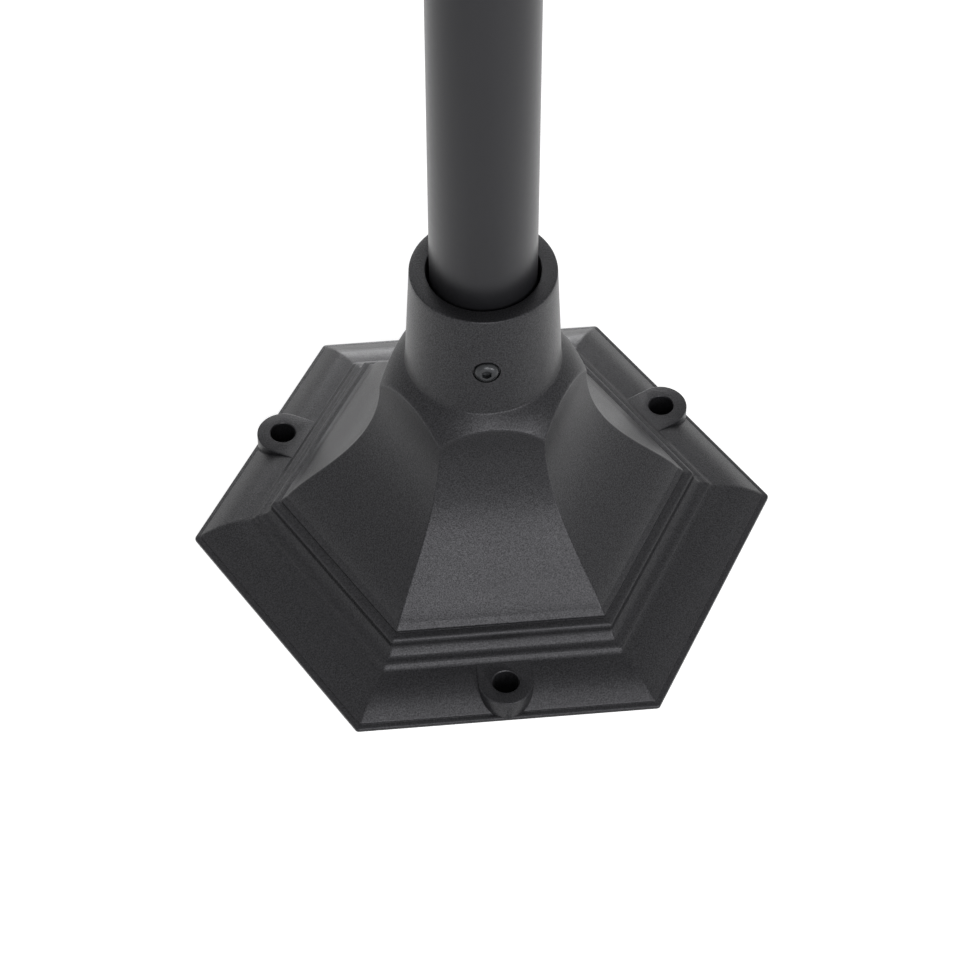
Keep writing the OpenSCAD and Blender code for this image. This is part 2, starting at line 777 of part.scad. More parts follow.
// Keeper ring under the head ring, whose turned-down edge holds the panes' heads.
module pane_keeper() {
    fall = cage_lean * keeper_h;
    leg_r = keeper_r - keeper_t;
    color("#3d3e40") difference() {
        union() {
            six_sided([[leg_r - fall, keeper_z - keeper_h], [keeper_r - fall, keeper_z - keeper_h],
                [keeper_r, keeper_z], [leg_r, keeper_z]]);
            six_sided([[leg_r - keeper_leg, keeper_z - keeper_t], [leg_r, keeper_z - keeper_t],
                [leg_r, keeper_z], [leg_r - keeper_leg, keeper_z]]);
        }
        on_corners() translate([keeper_screw_x, 0, keeper_z - keeper_t - over])
            cylinder(r = small_r + run, h = keeper_t + 2 * over);
    }
}

module keeper_screws() {
    color("#9a9a98") on_corners() translate([keeper_screw_x, 0, keeper_z - keeper_t]) mirror([0, 0, 1])
        slotted_screw(keeper_t + small_grip, small_r, small_head_r, small_head_h);
}

// Gland and lamp holder
module cable_gland() {
    color("#1f1f20") difference() {
        union() {
            translate([0, 0, floor_z - gland_below]) cylinder(r = gland_r, h = gland_below + tray_t + over);
            translate([0, 0, tray_top]) cylinder(r = gland_hex_r, h = gland_hex_h, $fn = sides);
            translate([0, 0, tray_top + gland_hex_h])
                cylinder(r1 = gland_r, r2 = lead_r + gland_tip_wall, h = gland_cone_h);
        }
        translate([0, 0, floor_z - gland_below - over])
            cylinder(r = lead_r + lead_gap, h = gland_below + tray_t + gland_hex_h + gland_cone_h + 2 * over);
    }
}

module gland_nut() {
    color("#1f1f20") translate([0, 0, floor_z - gland_nut_h]) difference() {
        cylinder(r = gland_nut_r, h = gland_nut_h, $fn = sides);
        translate([0, 0, -over]) cylinder(r = gland_r + run, h = gland_nut_h + 2 * over);
    }
}

module holder_bracket() {
    color("#b4b6b8") difference() {
        union() {
            translate([-bracket_span / 2, -bracket_w / 2, holder_z - bracket_t])
                cube([bracket_span, bracket_w, bracket_t]);
            for (side = [0, 1]) mirror([side, 0, 0])
                translate([bracket_span / 2 - bracket_t, -bracket_w / 2, tray_top]) {
                    cube([bracket_t, bracket_w, bracket_rise]);
                    cube([bracket_foot + bracket_t, bracket_w, bracket_t]);
                }
        }
        translate([0, 0, holder_z - bracket_t - over])
            cylinder(r = lead_r + bracket_hole, h = bracket_t + 2 * over);
        for (s = [-1, 1]) translate([s * bracket_screw_x, 0, tray_top - over])
            cylinder(r = small_r + run, h = bracket_t + 2 * over);
    }
}

module bracket_screws() {
    color("#9a9a98") for (s = [-1, 1]) translate([s * bracket_screw_x, 0, tray_top + bracket_t])
        slotted_screw(bracket_t + tray_t, small_r, small_head_r, small_head_h);
}

module lamp_holder() {
    color("#ece9e2") difference() {
        union() {
            translate([0, 0, holder_z]) cylinder(r = holder_r, h = holder_foot_h);
            translate([0, 0, holder_z + holder_foot_h])
                cylinder(r1 = holder_r - holder_step, r2 = holder_top_r, h = holder_h - holder_foot_h);
        }
        translate([0, 0, holder_floor]) cylinder(r = holder_bore_r, h = holder_h);
        translate([0, 0, holder_z - over]) cylinder(r = lead_r + lead_gap, h = holder_lead_depth + over);
    }
}

// Threaded shell, carried on the holder's floor by its turned-out foot.
module holder_shell() {
    inner = cap_r + shell_gap;
    color("#c9a24a") translate([0, 0, holder_floor]) difference() {
        union() {
            cylinder(r = inner + shell_t, h = shell_h);
            cylinder(r = holder_bore_r - fit, h = shell_t);
        }
        translate([0, 0, -over]) cylinder(r = inner, h = shell_h + 2 * over);
    }
}

module holder_contact() {
    color("#c9a24a") translate([0, 0, holder_floor])
        cylinder(r1 = contact_r, r2 = contact_tip_r, h = contact_h);
}

// Side of the bulb's glass, from its neck to the middle of its top, moved in by inset.
function glass_side(inset) =
    let (neck = [cap_r - glass_neck_in - inset, 0], r = bulb_r - inset, waist_z = bulb_len - bulb_r)
    concat([for (t = steps(curve_steps)) bend2(neck, neck + [0, glass_neck_shares[0] * bulb_len],
            [r, glass_neck_shares[1] * bulb_len], [r, waist_z], t)],
        [for (i = [1:curve_steps]) [r * cos(90 * i / curve_steps), waist_z + r * sin(90 * i / curve_steps)]]);

module bulb_glass() {
    color("#f2efe6", 0.35) translate([0, 0, glass_z])
        rotate_extrude() polygon(concat(glass_side(0), reversed(glass_side(glass_t))));
}

module bulb_cap() {
    ribs = 4 * thread_turns;
    rise = (cap_h - thread_z - cap_rim) / ribs;
    color("#c7c8ca") translate([0, 0, cap_z]) rotate_extrude() polygon(concat(
        [[0, 0], [contact_tip_r, 0], [contact_tip_r + cap_tip_out, cap_tip_h],
            [cap_r - cap_chamfer, thread_z - thread_depth]],
        [for (i = [0:ribs]) [cap_r - thread_depth + thread_depth * cos(90 * i), thread_z + rise * i]],
        [[cap_r, cap_h - glass_gap], [0, cap_h - glass_gap]]));
}

module bulb_stem() {
    color("#f2efe6", 0.35) translate([0, 0, glass_z - glass_gap]) {
        cylinder(r1 = stem_r, r2 = stem_top_r, h = stem_share * bulb_len);
        cylinder(r = post_r, h = (stem_share + post_share) * bulb_len);
    }
}

module bulb_filaments() {
    color("#f3c85a") translate([0, 0, glass_z + stem_share * bulb_len])
        for (i = [0:filaments - 1]) rotate(360 / filaments * i) translate([filament_out, 0, 0])
            rotate([0, filament_lean, 0])
                cylinder(r = filament_r, h = post_share * bulb_len, $fn = filament_fn);
}

// Swept side of the roof, from its eaves to its crown, moved in by inset.
function roof_curve(inset) =
    let (w = eaves_r - crown_r, low = [eaves_r - inset, roof_foot_z - inset / 2],
        high = [crown_r - inset, crown_z - inset / 2])
    [for (t = steps(curve_steps)) bend2(low, low + [-roof_foot_shares[0] * w, roof_foot_shares[1] * roof_h],
        low + [-roof_top_shares[0] * w, roof_top_shares[1] * roof_h], high, t)];

module roof_casting() {
    skirt_y = (eaves_r - skirt_t) * flat_share;
    skirt_z = roof_z - skirt_drop;
    color("#3d3e40") difference() {
        union() {
            six_sided(concat([[0, roof_z], [eaves_r - skirt_t, roof_z], [eaves_r - skirt_t, skirt_z],
                [eaves_r, skirt_z]], roof_curve(0), [[crown_r, crown_z + crown_h], [0, crown_z + crown_h]]));
            translate([-hinge_half, hinge_y, hinge_z]) rotate([0, 90, 0])
                cylinder(r = hinge_r, h = 2 * hinge_half);
            translate([-hinge_half, skirt_y, skirt_z])
                cube([2 * hinge_half, hinge_y - skirt_y, hinge_z + hinge_r - skirt_z]);
            rotate(lug_turns[0]) translate([skirt_y - thumb_boss_t + skirt_t, 0, thumb_z]) rotate([0, 90, 0])
                cylinder(r = thumb_boss_r, h = thumb_boss_t);
        }
        six_sided(concat([[0, roof_z - over], [land_r, roof_z - over]],
            [for (p = roof_curve(roof_wall)) [min(p[0], land_r), p[1]]], [[0, crown_z - roof_wall]]));
        hinge_bore();
        rotate(lug_turns[0]) translate([0, 0, thumb_z]) rotate([0, 90, 0])
            cylinder(r = thumb_r + run, h = foot_r);
        translate([0, 0, crown_z - 2 * roof_wall]) {
            cylinder(r = stud_r + fit, h = crown_h + 3 * roof_wall);
            for (i = [0:vent_holes - 1]) rotate(360 / vent_holes * i)
                translate([vent_hole_pitch, 0, 0]) cylinder(r = vent_hole_r, h = 3 * roof_wall);
        }
        translate([0, 0, crown_z]) cylinder(r = vent_neck_r + fit, h = crown_h + over);
    }
}

module roof_gasket() {
    inner = land_r + gasket_edge;
    outer = cage_head_r + ring_out - gasket_edge;
    top = roof_z - fit;
    color("#1a1a1a") six_sided([[inner, cage_top], [outer, cage_top], [outer, top], [inner, top]]);
}

// Vent cap: a slotted neck, open below, under a domed cap.
module vent_cap() {
    dome = [for (t = steps(small_steps)) bend1([vent_r - vent_bevel / 2, vent_top - vent_dome_h],
        [vent_r / 2, vent_top], [finial_r, vent_top], t)];
    inner = vent_neck_r - vent_wall;
    color("#3d3e40") translate([0, 0, crown_z]) difference() {
        rotate_extrude() polygon(concat([[inner, 0], [vent_neck_r, 0], [vent_neck_r, vent_neck_h],
            [vent_r - vent_bevel, vent_neck_h], [vent_r, vent_neck_h + vent_bevel]], dome,
            [[stud_r + fit, vent_top], [stud_r + fit, vent_top - 2 * vent_wall], [inner, vent_neck_h]]));
        for (i = [0:vent_slots - 1]) rotate(360 / vent_slots * (i + 1 / 2))
            translate([inner - vent_wall, -vent_slot_w / 2, crown_h + vent_slot_rise])
                cube([3 * vent_wall, vent_slot_w, vent_slot_h]);
    }
}

module finial() {
    ball = [for (t = steps(curve_steps)) [finial_r * cos(ball_start + ball_sweep * t),
        ball_share * finial_h + finial_r * sin(ball_start + ball_sweep * t)]];
    color("#3d3e40") {
        translate([0, 0, finial_z]) rotate_extrude() polygon(concat(
            [for (s = finial_shares) [s[0] * finial_r, s[1] * finial_h]], ball,
            [[finial_tip_r, finial_h], [0, finial_h]]));
        translate([0, 0, crown_z - stud_drop]) cylinder(r = stud_r, h = vent_top + stud_drop + over);
    }
}

module finial_nut() {
    color("#9a9a98") translate([0, 0, crown_z - roof_wall - finial_nut_h]) difference() {
        cylinder(r = finial_nut_r, h = finial_nut_h, $fn = sides);
        translate([0, 0, -over]) cylinder(r = stud_r + run / 2, h = finial_nut_h + 2 * over);
    }
}

// Fluted screw that steadies the front of the roof against the cage's head ring.
module thumb_screw() {
    color("#9a9a98") rotate(lug_turns[0]) translate([0, 0, thumb_z]) rotate([0, 90, 0]) difference() {
        union() {
            translate([0, 0, thumb_tip]) cylinder(r = thumb_r, h = thumb_out - thumb_tip + over);
            translate([0, 0, thumb_out]) cylinder(r = thumb_head_r, h = thumb_head_t);
        }
        for (i = [0:thumb_flutes - 1]) rotate(360 / thumb_flutes * i)
            translate([thumb_head_r, 0, thumb_out - over])
                cylinder(r = flute_r, h = thumb_head_t + 2 * over, $fn = flute_fn);
    }
}

base_casting();
earth_screw();
clamp_screw_front();
clamp_screw_right();
clamp_screw_left();
mast_tube();
mast_plug();
terminal_block();
terminal_screws();
mast_lead();
lantern_socket();
socket_screws();
floor_tray();
tray_screws();
cable_gland();
gland_nut();
holder_bracket();
bracket_screws();
lamp_holder();
holder_shell();
holder_contact();
lantern_cage();
cage_screws();
pane_front();
pane_front_right();
pane_back_right();
pane_back();
pane_back_left();
pane_front_left();
pane_keeper();
keeper_screws();
hinge_pin();
bulb_glass();
bulb_cap();
bulb_stem();
bulb_filaments();
roof_casting();
roof_gasket();
vent_cap();
finial();
finial_nut();
thumb_screw();
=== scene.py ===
# %% [markdown]
# # An outdoor floor lamp
# The lamp is a six-sided cast foot, a round mast and a glazed lantern. Its pieces are already made as
# exact solids, and this script dresses them. It draws the castings again with the soft edges of real
# ones, gives every piece a finish of its own, and lights the lamp as a studio would.
# A solid whose shape is right keeps it. One that a softer surface suits better is replaced by that.

# %% Load the solids
import json
import math
import bmesh
import bpy
import numpy as np
from mathutils import Matrix, Vector

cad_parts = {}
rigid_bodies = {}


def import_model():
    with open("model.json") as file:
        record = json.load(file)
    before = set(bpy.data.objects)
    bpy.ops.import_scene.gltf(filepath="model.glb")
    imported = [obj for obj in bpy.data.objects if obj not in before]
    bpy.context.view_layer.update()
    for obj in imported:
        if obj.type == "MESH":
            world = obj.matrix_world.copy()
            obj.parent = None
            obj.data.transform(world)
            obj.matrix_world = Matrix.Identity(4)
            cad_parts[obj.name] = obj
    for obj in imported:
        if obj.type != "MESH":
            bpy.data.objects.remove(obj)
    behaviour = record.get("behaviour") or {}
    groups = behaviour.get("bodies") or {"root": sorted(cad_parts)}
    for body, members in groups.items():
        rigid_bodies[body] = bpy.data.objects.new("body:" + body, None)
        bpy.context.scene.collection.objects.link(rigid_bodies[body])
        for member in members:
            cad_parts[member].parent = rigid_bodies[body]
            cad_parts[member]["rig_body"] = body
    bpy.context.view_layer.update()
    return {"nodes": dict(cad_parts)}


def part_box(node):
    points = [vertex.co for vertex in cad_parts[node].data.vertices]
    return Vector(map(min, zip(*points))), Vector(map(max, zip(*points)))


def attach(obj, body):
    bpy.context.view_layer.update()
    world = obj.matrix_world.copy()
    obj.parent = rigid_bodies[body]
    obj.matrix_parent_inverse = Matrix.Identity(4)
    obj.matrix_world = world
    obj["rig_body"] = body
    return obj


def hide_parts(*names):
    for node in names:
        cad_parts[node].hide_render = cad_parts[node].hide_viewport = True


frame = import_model()

# %% [markdown]
# ## The camera
# The camera comes first, because it decides how fine everything else must be. The picture was taken
# from above and a little to the left of the front, with a long lens, so that the foot's six sides
# hardly converge. A place, a point to look at and a small roll are enough to set it.

# %% Camera
CAMERA_PLACE = Vector((-0.1161, -1.2016, 1.4498))
LOOK_AT = Vector((-0.0020, 0.0, 0.0371))
CAMERA_ROLL = math.radians(-0.06)
LENS = 114.5


def new_object(name, data):
    """An object in the scene that holds a mesh, a camera or a lamp."""
    made = bpy.data.objects.new(name, data)
    bpy.context.scene.collection.objects.link(made)
    return made


def aim(place, target, roll=0.0):
    """Matrix of a camera or lamp at place whose -Z looks at target, rolled about that line."""
    turn = (target - place).to_track_quat("-Z", "Y").to_matrix().to_4x4()
    return Matrix.Translation(place) @ turn @ Matrix.Rotation(roll, 4, "Z")


camera_data = bpy.data.cameras.new("camera")
camera_data.lens = LENS
camera = new_object("camera", camera_data)
camera.matrix_world = aim(CAMERA_PLACE, LOOK_AT, CAMERA_ROLL)
bpy.context.scene.camera = camera
print("camera is", round((CAMERA_PLACE - LOOK_AT).length, 3), "m from the foot")

# %% [markdown]
# ## Surfaces from numbers
# A casting's outline is a list of radii and heights, carried round the axis. It could be modelled by
# hand from an extruded circle, but then its six flat sides and their corners would each need work.
# Here the radius is worked out for every turn at once: a round stretch keeps it, and a six-sided
# stretch multiplies it by the shape of a hexagon whose corners are small arcs.

# %% Hexagons and rings
MM = 0.001
SIDES = 6
SIDE_TURN = 2 * math.pi / SIDES
FLAT_SHARE = math.cos(SIDE_TURN / 2)
# Radius of a cast corner, as a share of the hexagon's, and half the turn that its arc takes
CORNER_SOFT = 0.014
CORNER_HALF = math.radians(0.8)


def hexagon(turns):
    """Radius of a hexagon with soft corners, of corner radius 1, at each turn.

    On a flat side it is the apothem over the cosine of the angle from the side's middle. Near a
    corner it is where the ray meets the corner's arc, a circle that touches both sides."""
    from_middle = np.mod(turns, SIDE_TURN) - SIDE_TURN / 2
    from_corner = SIDE_TURN / 2 - np.abs(from_middle)
    centre = 1 - CORNER_SOFT / FLAT_SHARE
    reach = np.sqrt(np.maximum(CORNER_SOFT ** 2 - (centre * np.sin(from_corner)) ** 2, 0))
    arc = centre * np.cos(from_corner) + reach
    touch = np.arctan((0.5 - CORNER_SOFT * math.tan(SIDE_TURN / 2)) / FLAT_SHARE)
    return np.where(np.abs(from_middle) > touch, arc, FLAT_SHARE / np.cos(from_middle))


def ring_turns(side_steps, corner_steps):
    """Turns round the axis, even along each side and close together over each soft corner."""
    side = np.linspace(CORNER_HALF, SIDE_TURN - CORNER_HALF, side_steps, endpoint=False)
    corner = np.linspace(-CORNER_HALF, CORNER_HALF, corner_steps, endpoint=False)
    one = np.concatenate([corner, side])
    return (np.arange(SIDES)[:, None] * SIDE_TURN + one[None, :]).ravel()


def full_turn(steps):
    """Even turns once round the axis."""
    return np.linspace(0, 2 * math.pi, steps, endpoint=False)


SIDE_STEPS, CORNER_STEPS, ROUND_STEPS, FINE_STEPS = 40, 8, 160, 64
TURNS = ring_turns(SIDE_STEPS, CORNER_STEPS)
HEXAGON = hexagon(TURNS)
ROUND, FINE = full_turn(ROUND_STEPS), full_turn(FINE_STEPS)
print("points round a casting:", TURNS.size)

# %% Outlines
CURVE_STEPS = 24
# The most of a short side that the curve at one corner takes
SIDE_SHARE = 0.42


def bend(points, steps=CURVE_STEPS):
    """Bezier curve, as an array of points along it. Between each two control points a point runs
    across, then one between each two of those, until a single one is left."""
    t = np.linspace(0, 1, steps + 1)[:, None, None]
    p = np.asarray(points, float)[None]
    while p.shape[1] > 1:
        p = (1 - t) * p[:, :-1] + t * p[:, 1:]
    return p[:, 0]


def soften(outline, reach, closed=True, steps=3):
    """Outline whose corners are short curves: each starts reach before its corner and ends reach
    after it, with the corner as its handle. Where a side is short, the curve takes less of it."""
    p = np.asarray(outline, float)
    back, on = np.roll(p, 1, axis=0) - p, np.roll(p, -1, axis=0) - p
    back_len = np.linalg.norm(back[:, :2], axis=1)
    on_len = np.linalg.norm(on[:, :2], axis=1)
    size = np.minimum(reach, SIDE_SHARE * np.minimum(back_len, on_len))
    start = p + back * (size / back_len)[:, None]
    end = p + on * (size / on_len)[:, None]
    t = np.linspace(0, 1, steps + 1)[None, :, None]
    curves = (1 - t) ** 2 * start[:, None] + 2 * t * (1 - t) * p[:, None] + t ** 2 * end[:, None]
    if closed:
        return curves.reshape(-1, p.shape[1])
    return np.concatenate([p[:1], curves[1:-1].reshape(-1, p.shape[1]), p[-1:]])


def rings(outline, shape=HEXAGON):
    """Radii and heights of an outline carried round the axis. Each point of the outline is a radius,
    a height and a share from 0, round, to 1, six-sided. The radius is multiplied by 1 where the ring
    is round and by the hexagon's shape where it is six-sided."""
    radius, height, flat = (column[:, None] for column in np.asarray(outline, float).T)
    return radius * (1 - flat + flat * shape[None, :]), height + 0 * shape[None, :]


def around(radius, height, turns=TURNS):
    """Grid of points from radii and heights at each turn."""
    return np.stack([radius * np.cos(turns), radius * np.sin(turns), height], axis=-1)


def with_flat(points, flat):
    """An outline of radii and heights with one share of six-sidedness added to every point."""
    p = np.asarray(points, float)
    return np.column_stack([p, np.full(len(p), flat)])


# %% Meshes
def shell(points, closed=False):
    """Vertices and faces of a grid of rings: each cell between two rings is one face. A closed
    shell joins its last ring to its first, and an open one has a flat face over each end."""
    index = np.arange(points.shape[0] * points.shape[1]).reshape(points.shape[:2])
    low = index if closed else index[:-1]
    high = np.roll(index, -1, axis=0) if closed else index[1:]
    cells = np.stack([low, np.roll(low, -1, 1), np.roll(high, -1, 1), high], axis=-1)
    faces = cells.reshape(-1, 4).tolist()
    if not closed:
        faces += [index[0, ::-1].tolist(), index[-1].tolist()]
    return points.reshape(-1, 3), faces


def lathe(outline, closed=False, turns=ROUND):
    """Shell of an outline of radii and heights, turned round the axis."""
    p = np.asarray(outline, float)
    return shell(around(p[:, :1] + 0 * turns, p[:, 1:2] + 0 * turns, turns), closed)


# %% Moving parts
def moved(part, matrix):
    """A part turned and moved by a matrix in millimetres."""
    m = np.array(matrix)
    return part[0] @ m[:3, :3].T + m[:3, 3], part[1]


def turned(part, angle, out=0.0):
    """A part moved out along X, then turned about the axis."""
    return moved(part, Matrix.Rotation(angle, 4, "Z") @ Matrix.Translation((out, 0, 0)))


def outward(angle, height, along=0.0):
    """Matrix that lays a part's own Z along the radius at an angle, at a height."""
    lay = Matrix.Rotation(math.pi / 2, 4, "Y")
    return Matrix.Rotation(angle, 4, "Z") @ Matrix.Translation((along, 0, height)) @ lay


# %% Objects from parts
def tidy(mesh, join_angle=None, gap=1e-6):
    """Closes a mesh's seams and poles, then points its faces outwards or, given an angle, joins
    those that meet within it."""
    work = bmesh.new()
    work.from_mesh(mesh)
    bmesh.ops.remove_doubles(work, verts=work.verts, dist=gap)
    if join_angle is None:
        bmesh.ops.recalc_face_normals(work, faces=work.faces)
    else:
        bmesh.ops.dissolve_limit(work, angle_limit=join_angle, verts=work.verts, edges=work.edges)
    work.to_mesh(mesh)
    work.free()


def body_from(name, parts):
    """An object whose mesh holds all the parts, given in millimetres."""
    starts = np.cumsum([0] + [len(points) for points, faces in parts[:-1]])
    points = np.concatenate([points for points, faces in parts]) * MM
    faces = [[i + start for i in face] for (_, some), start in zip(parts, starts) for face in some]
    mesh = bpy.data.meshes.new(name)
    mesh.from_pydata(points.tolist(), [], faces)
    tidy(mesh)
    return new_object(name, mesh)


def apply_modifiers(piece):
    """Writes what a piece's modifiers make into its own mesh."""
    graph = bpy.context.evaluated_depsgraph_get()
    made = bpy.data.meshes.new_from_object(piece.evaluated_get(graph))
    piece.modifiers.clear()
    piece.data = made


def combine(piece, parts, kind):
    """Adds parts to a piece's mesh, or cuts them out of it, with an exact Boolean."""
    tool = body_from("tool", parts)
    modifier = piece.modifiers.new("combine", "BOOLEAN")
    modifier.operation = kind
    modifier.solver = "EXACT"
    modifier.object = tool
    apply_modifiers(piece)
    bpy.data.objects.remove(tool)


# %% Dressing a piece
SHARP = math.radians(32)


def dress(piece, material, body, *nodes, sharp=SHARP):
    """Shades a new piece, gives it a material and has it stand for its CAD nodes on their body."""
    piece.data.materials.clear()
    piece.data.materials.append(material)
    piece.data.polygons.foreach_set("use_smooth", [True] * len(piece.data.polygons))
    piece.data.set_sharp_from_angle(angle=sharp)
    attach(piece, body)
    if nodes:
        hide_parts(*nodes)
    print(piece.name, "has", len(piece.data.polygons), "faces")
    return piece


# %% [markdown]
# ## Finishes
# Nearly all of the lamp is aluminium under a polyester powder coat. The powder is sprayed on dry and
# baked, and the outdoor kind is mixed to bake with a fine sandy texture that hides the casting's
# flaws. A picture of such a coat would slide over the corners, so the grain is a noise in the
# piece's own space, as deep as the real one and only as fine as the picture can show.

# %% Colours and nodes
def linear(code):
    """Linear colour of an sRGB hex code: each channel is divided by 12.92 below a small limit, and
    above it is raised to the power 2.4."""
    channels = [int(code[i:i + 2], 16) / 255 for i in (1, 3, 5)]
    curve = [c / 12.92 if c <= 0.04045 else ((c + 0.055) / 1.055) ** 2.4 for c in channels]
    return (*curve, 1.0)


def add(tree, kind, inputs=None, **settings):
    """Adds a shader node with its settings. Each input takes a value, or the socket that feeds it."""
    made = tree.nodes.new("ShaderNode" + kind)
    for name, value in settings.items():
        setattr(made, name, value)
    for name, value in (inputs or {}).items():
        if isinstance(value, bpy.types.NodeSocket):
            tree.links.new(value, made.inputs[name])
        else:
            made.inputs[name].default_value = value
    return made


def material(name, **inputs):
    """A new material, its node tree, its shader and the piece's own coordinates."""
    made = bpy.data.materials.new(name)
    made.use_nodes = True
    tree = made.node_tree
    shader = tree.nodes["Principled BSDF"]
    for socket, value in inputs.items():
        shader.inputs[socket.replace("_", " ")].default_value = value
    place = add(tree, "TexCoord").outputs["Object"]
    return made, tree, shader, place


def noise(tree, place, size, detail=2.0, roughness=0.5):
    """Noise whose lumps are about size metres across."""
    made = add(tree, "TexNoise", {"Vector": place, "Scale": 1 / size, "Detail": detail,
                                  "Roughness": roughness})
    return made.outputs["Fac"]


def ramp(tree, factor, low, high, from_low=0.0, from_high=1.0):
    """A number or socket that runs from low to high as a factor runs between its own two limits."""
    made = add(tree, "MapRange", {"Value": factor, "From Min": from_low, "From Max": from_high,
                                  "To Min": low, "To Max": high})
    return made.outputs["Result"]


def tint(tree, factor, low, high):
    """A colour between two hex colours."""
    ends = {"Factor": factor, "A": linear(low), "B": linear(high)}
    return add(tree, "Mix", ends, data_type="RGBA").outputs["Result"]


def raise_surface(tree, shader, height, depth, strength=1.0):
    """Raises a surface by a height from 0 to 1 times a depth in metres."""
    bump = add(tree, "Bump", {"Height": height, "Distance": depth, "Strength": strength})
    tree.links.new(bump.outputs["Normal"], shader.inputs["Normal"])


def paint(tree, shader, colour, rough):
    """Feeds a colour and a roughness to a shader."""
    tree.links.new(colour, shader.inputs["Base Color"])
    tree.links.new(rough, shader.inputs["Roughness"])


# %% Powder coats
# The grains of a sand-texture powder are about 0.3 mm across. One that size is lost between two
# pixels at this distance, so they are drawn at 0.8 mm. They shade one another, so the coat mirrors
# less than a smooth one, and unevenly: its specular level is below the usual 0.5.
SAND_GRAIN = 0.8 * MM
SAND_DEPTH = 0.13 * MM
SAND_MIRROR = (0.19, 0.41)
SATIN_MIRROR = 0.31
SAND_ROUGH, SATIN_ROUGH = (0.33, 0.37), (0.31, 0.36)
SATIN_WAVE = 4 * MM
# What both coats mirror is a little cooler than the room
COAT_TINT = linear("#faf9ff")
CLOUD = 45 * MM


def sand_coat():
    """Fine sand-texture polyester powder coat, baked on cast aluminium: anthracite, half matt."""
    mean = sum(SAND_MIRROR) / 2
    made, tree, shader, place = material("sand_powder_coat", Specular_IOR_Level=mean, Specular_Tint=COAT_TINT)
    grain = noise(tree, place, SAND_GRAIN, 3.0, 0.6)
    cloud = noise(tree, place, CLOUD)
    speck = ramp(tree, grain, 0.0, 1.0, 0.35, 0.65)
    shade = ramp(tree, speck, *SAND_MIRROR)
    tree.links.new(shade, shader.inputs["Specular IOR Level"])
    paint(tree, shader, tint(tree, speck, "#131314", "#202022"), ramp(tree, cloud, *SAND_ROUGH, 0.3, 0.7))
    raise_surface(tree, shader, grain, SAND_DEPTH)
    return made


def satin_coat(name, low, high, depth):
    """Smooth satin powder coat, as on tube and sheet, with the faint waves it sets with."""
    made, tree, shader, place = material(name, Specular_IOR_Level=SATIN_MIRROR, Specular_Tint=COAT_TINT)
    cloud = noise(tree, place, CLOUD)
    wave = noise(tree, place, SATIN_WAVE, 1.0)
    paint(tree, shader, tint(tree, cloud, low, high), ramp(tree, wave, *SATIN_ROUGH))
    raise_surface(tree, shader, wave, depth)
    return made


SAND = sand_coat()
SATIN = satin_coat("satin_powder_coat", "#161618", "#19191b", 0.005 * MM)
SHEET = satin_coat("satin_coat_on_sheet", "#171719", "#1b1b1d", 0.01 * MM)
print("coats:", SAND.name, SATIN.name, SHEET.name)

# %% Metals
def turned_metal(name, low, high, rough, metallic=1.0, streak=0.25 * MM):
    """Metal that was turned or drawn: fine streaks round or along it vary how rough it is. Real
    ones are about 0.1 mm apart, and these are wider, so that they show."""
    made, tree, shader, place = material(name, Metallic=metallic, Roughness=rough)
    stretch = add(tree, "Mapping", {"Vector": place, "Scale": (1.0, 1.0, 6.0)})
    fine = noise(tree, stretch.outputs["Vector"], streak, 2.0)
    cloud = noise(tree, place, 6 * MM)
    paint(tree, shader, tint(tree, cloud, low, high), ramp(tree, fine, rough - 0.08, rough + 0.08))
    raise_surface(tree, shader, fine, 0.01 * MM)
    return made


SPANGLE = 5 * MM


def spangled(name):
    """Zinc-plated steel sheet: a bright metal with pale crystals a few millimetres across."""
    made, tree, shader, place = material(name, Metallic=1.0, Roughness=0.36)
    crystals = add(tree, "TexVoronoi", {"Vector": place, "Scale": 1 / SPANGLE})
    pale = add(tree, "SeparateColor", {"Color": crystals.outputs["Color"]}).outputs["Red"]
    paint(tree, shader, tint(tree, pale, "#a4a8ab", "#c2c5c7"), ramp(tree, pale, 0.3, 0.44))
    return made


BLACK_STEEL = turned_metal("blackened_steel", "#2a2b2d", "#363739", 0.27, 0.6)
STAINLESS = turned_metal("stainless_steel", "#a5a4a1", "#bdbcb8", 0.3)
BRASS = turned_metal("turned_brass", "#b98f45", "#d0a85c", 0.28)
NICKEL = turned_metal("nickel_plated_brass", "#b4b3af", "#cfcdc8", 0.22)
ZINC = spangled("zinc_plated_sheet")
print("metals:", BLACK_STEEL.name, STAINLESS.name, BRASS.name, NICKEL.name, ZINC.name)

# %% Glass, porcelain, plastics and rubber
def clear_glass(name, colour, wave_depth):
    """Clear glass with the faint waves of the rolled or blown sheet."""
    made, tree, shader, place = material(name, Roughness=0.02, IOR=1.5, Transmission_Weight=1.0)
    shader.inputs["Base Color"].default_value = linear(colour)
    raise_surface(tree, shader, noise(tree, place, 30 * MM, 1.0), wave_depth)
    dirt = noise(tree, place, 25 * MM, 3.0)
    tree.links.new(ramp(tree, dirt, 0.0, 0.05), shader.inputs["Roughness"])
    return made


def moulded(name, low, high, rough, size=0.6 * MM, depth=0.02 * MM, **inputs):
    """A moulded or glazed piece: one colour with faint clouds and the skin of its mould."""
    made, tree, shader, place = material(name, Roughness=rough, **inputs)
    skin = noise(tree, place, size, 2.0)
    cloud = noise(tree, place, 12 * MM)
    paint(tree, shader, tint(tree, cloud, low, high), ramp(tree, skin, rough - 0.05, rough + 0.05))
    raise_surface(tree, shader, skin, depth)
    return made


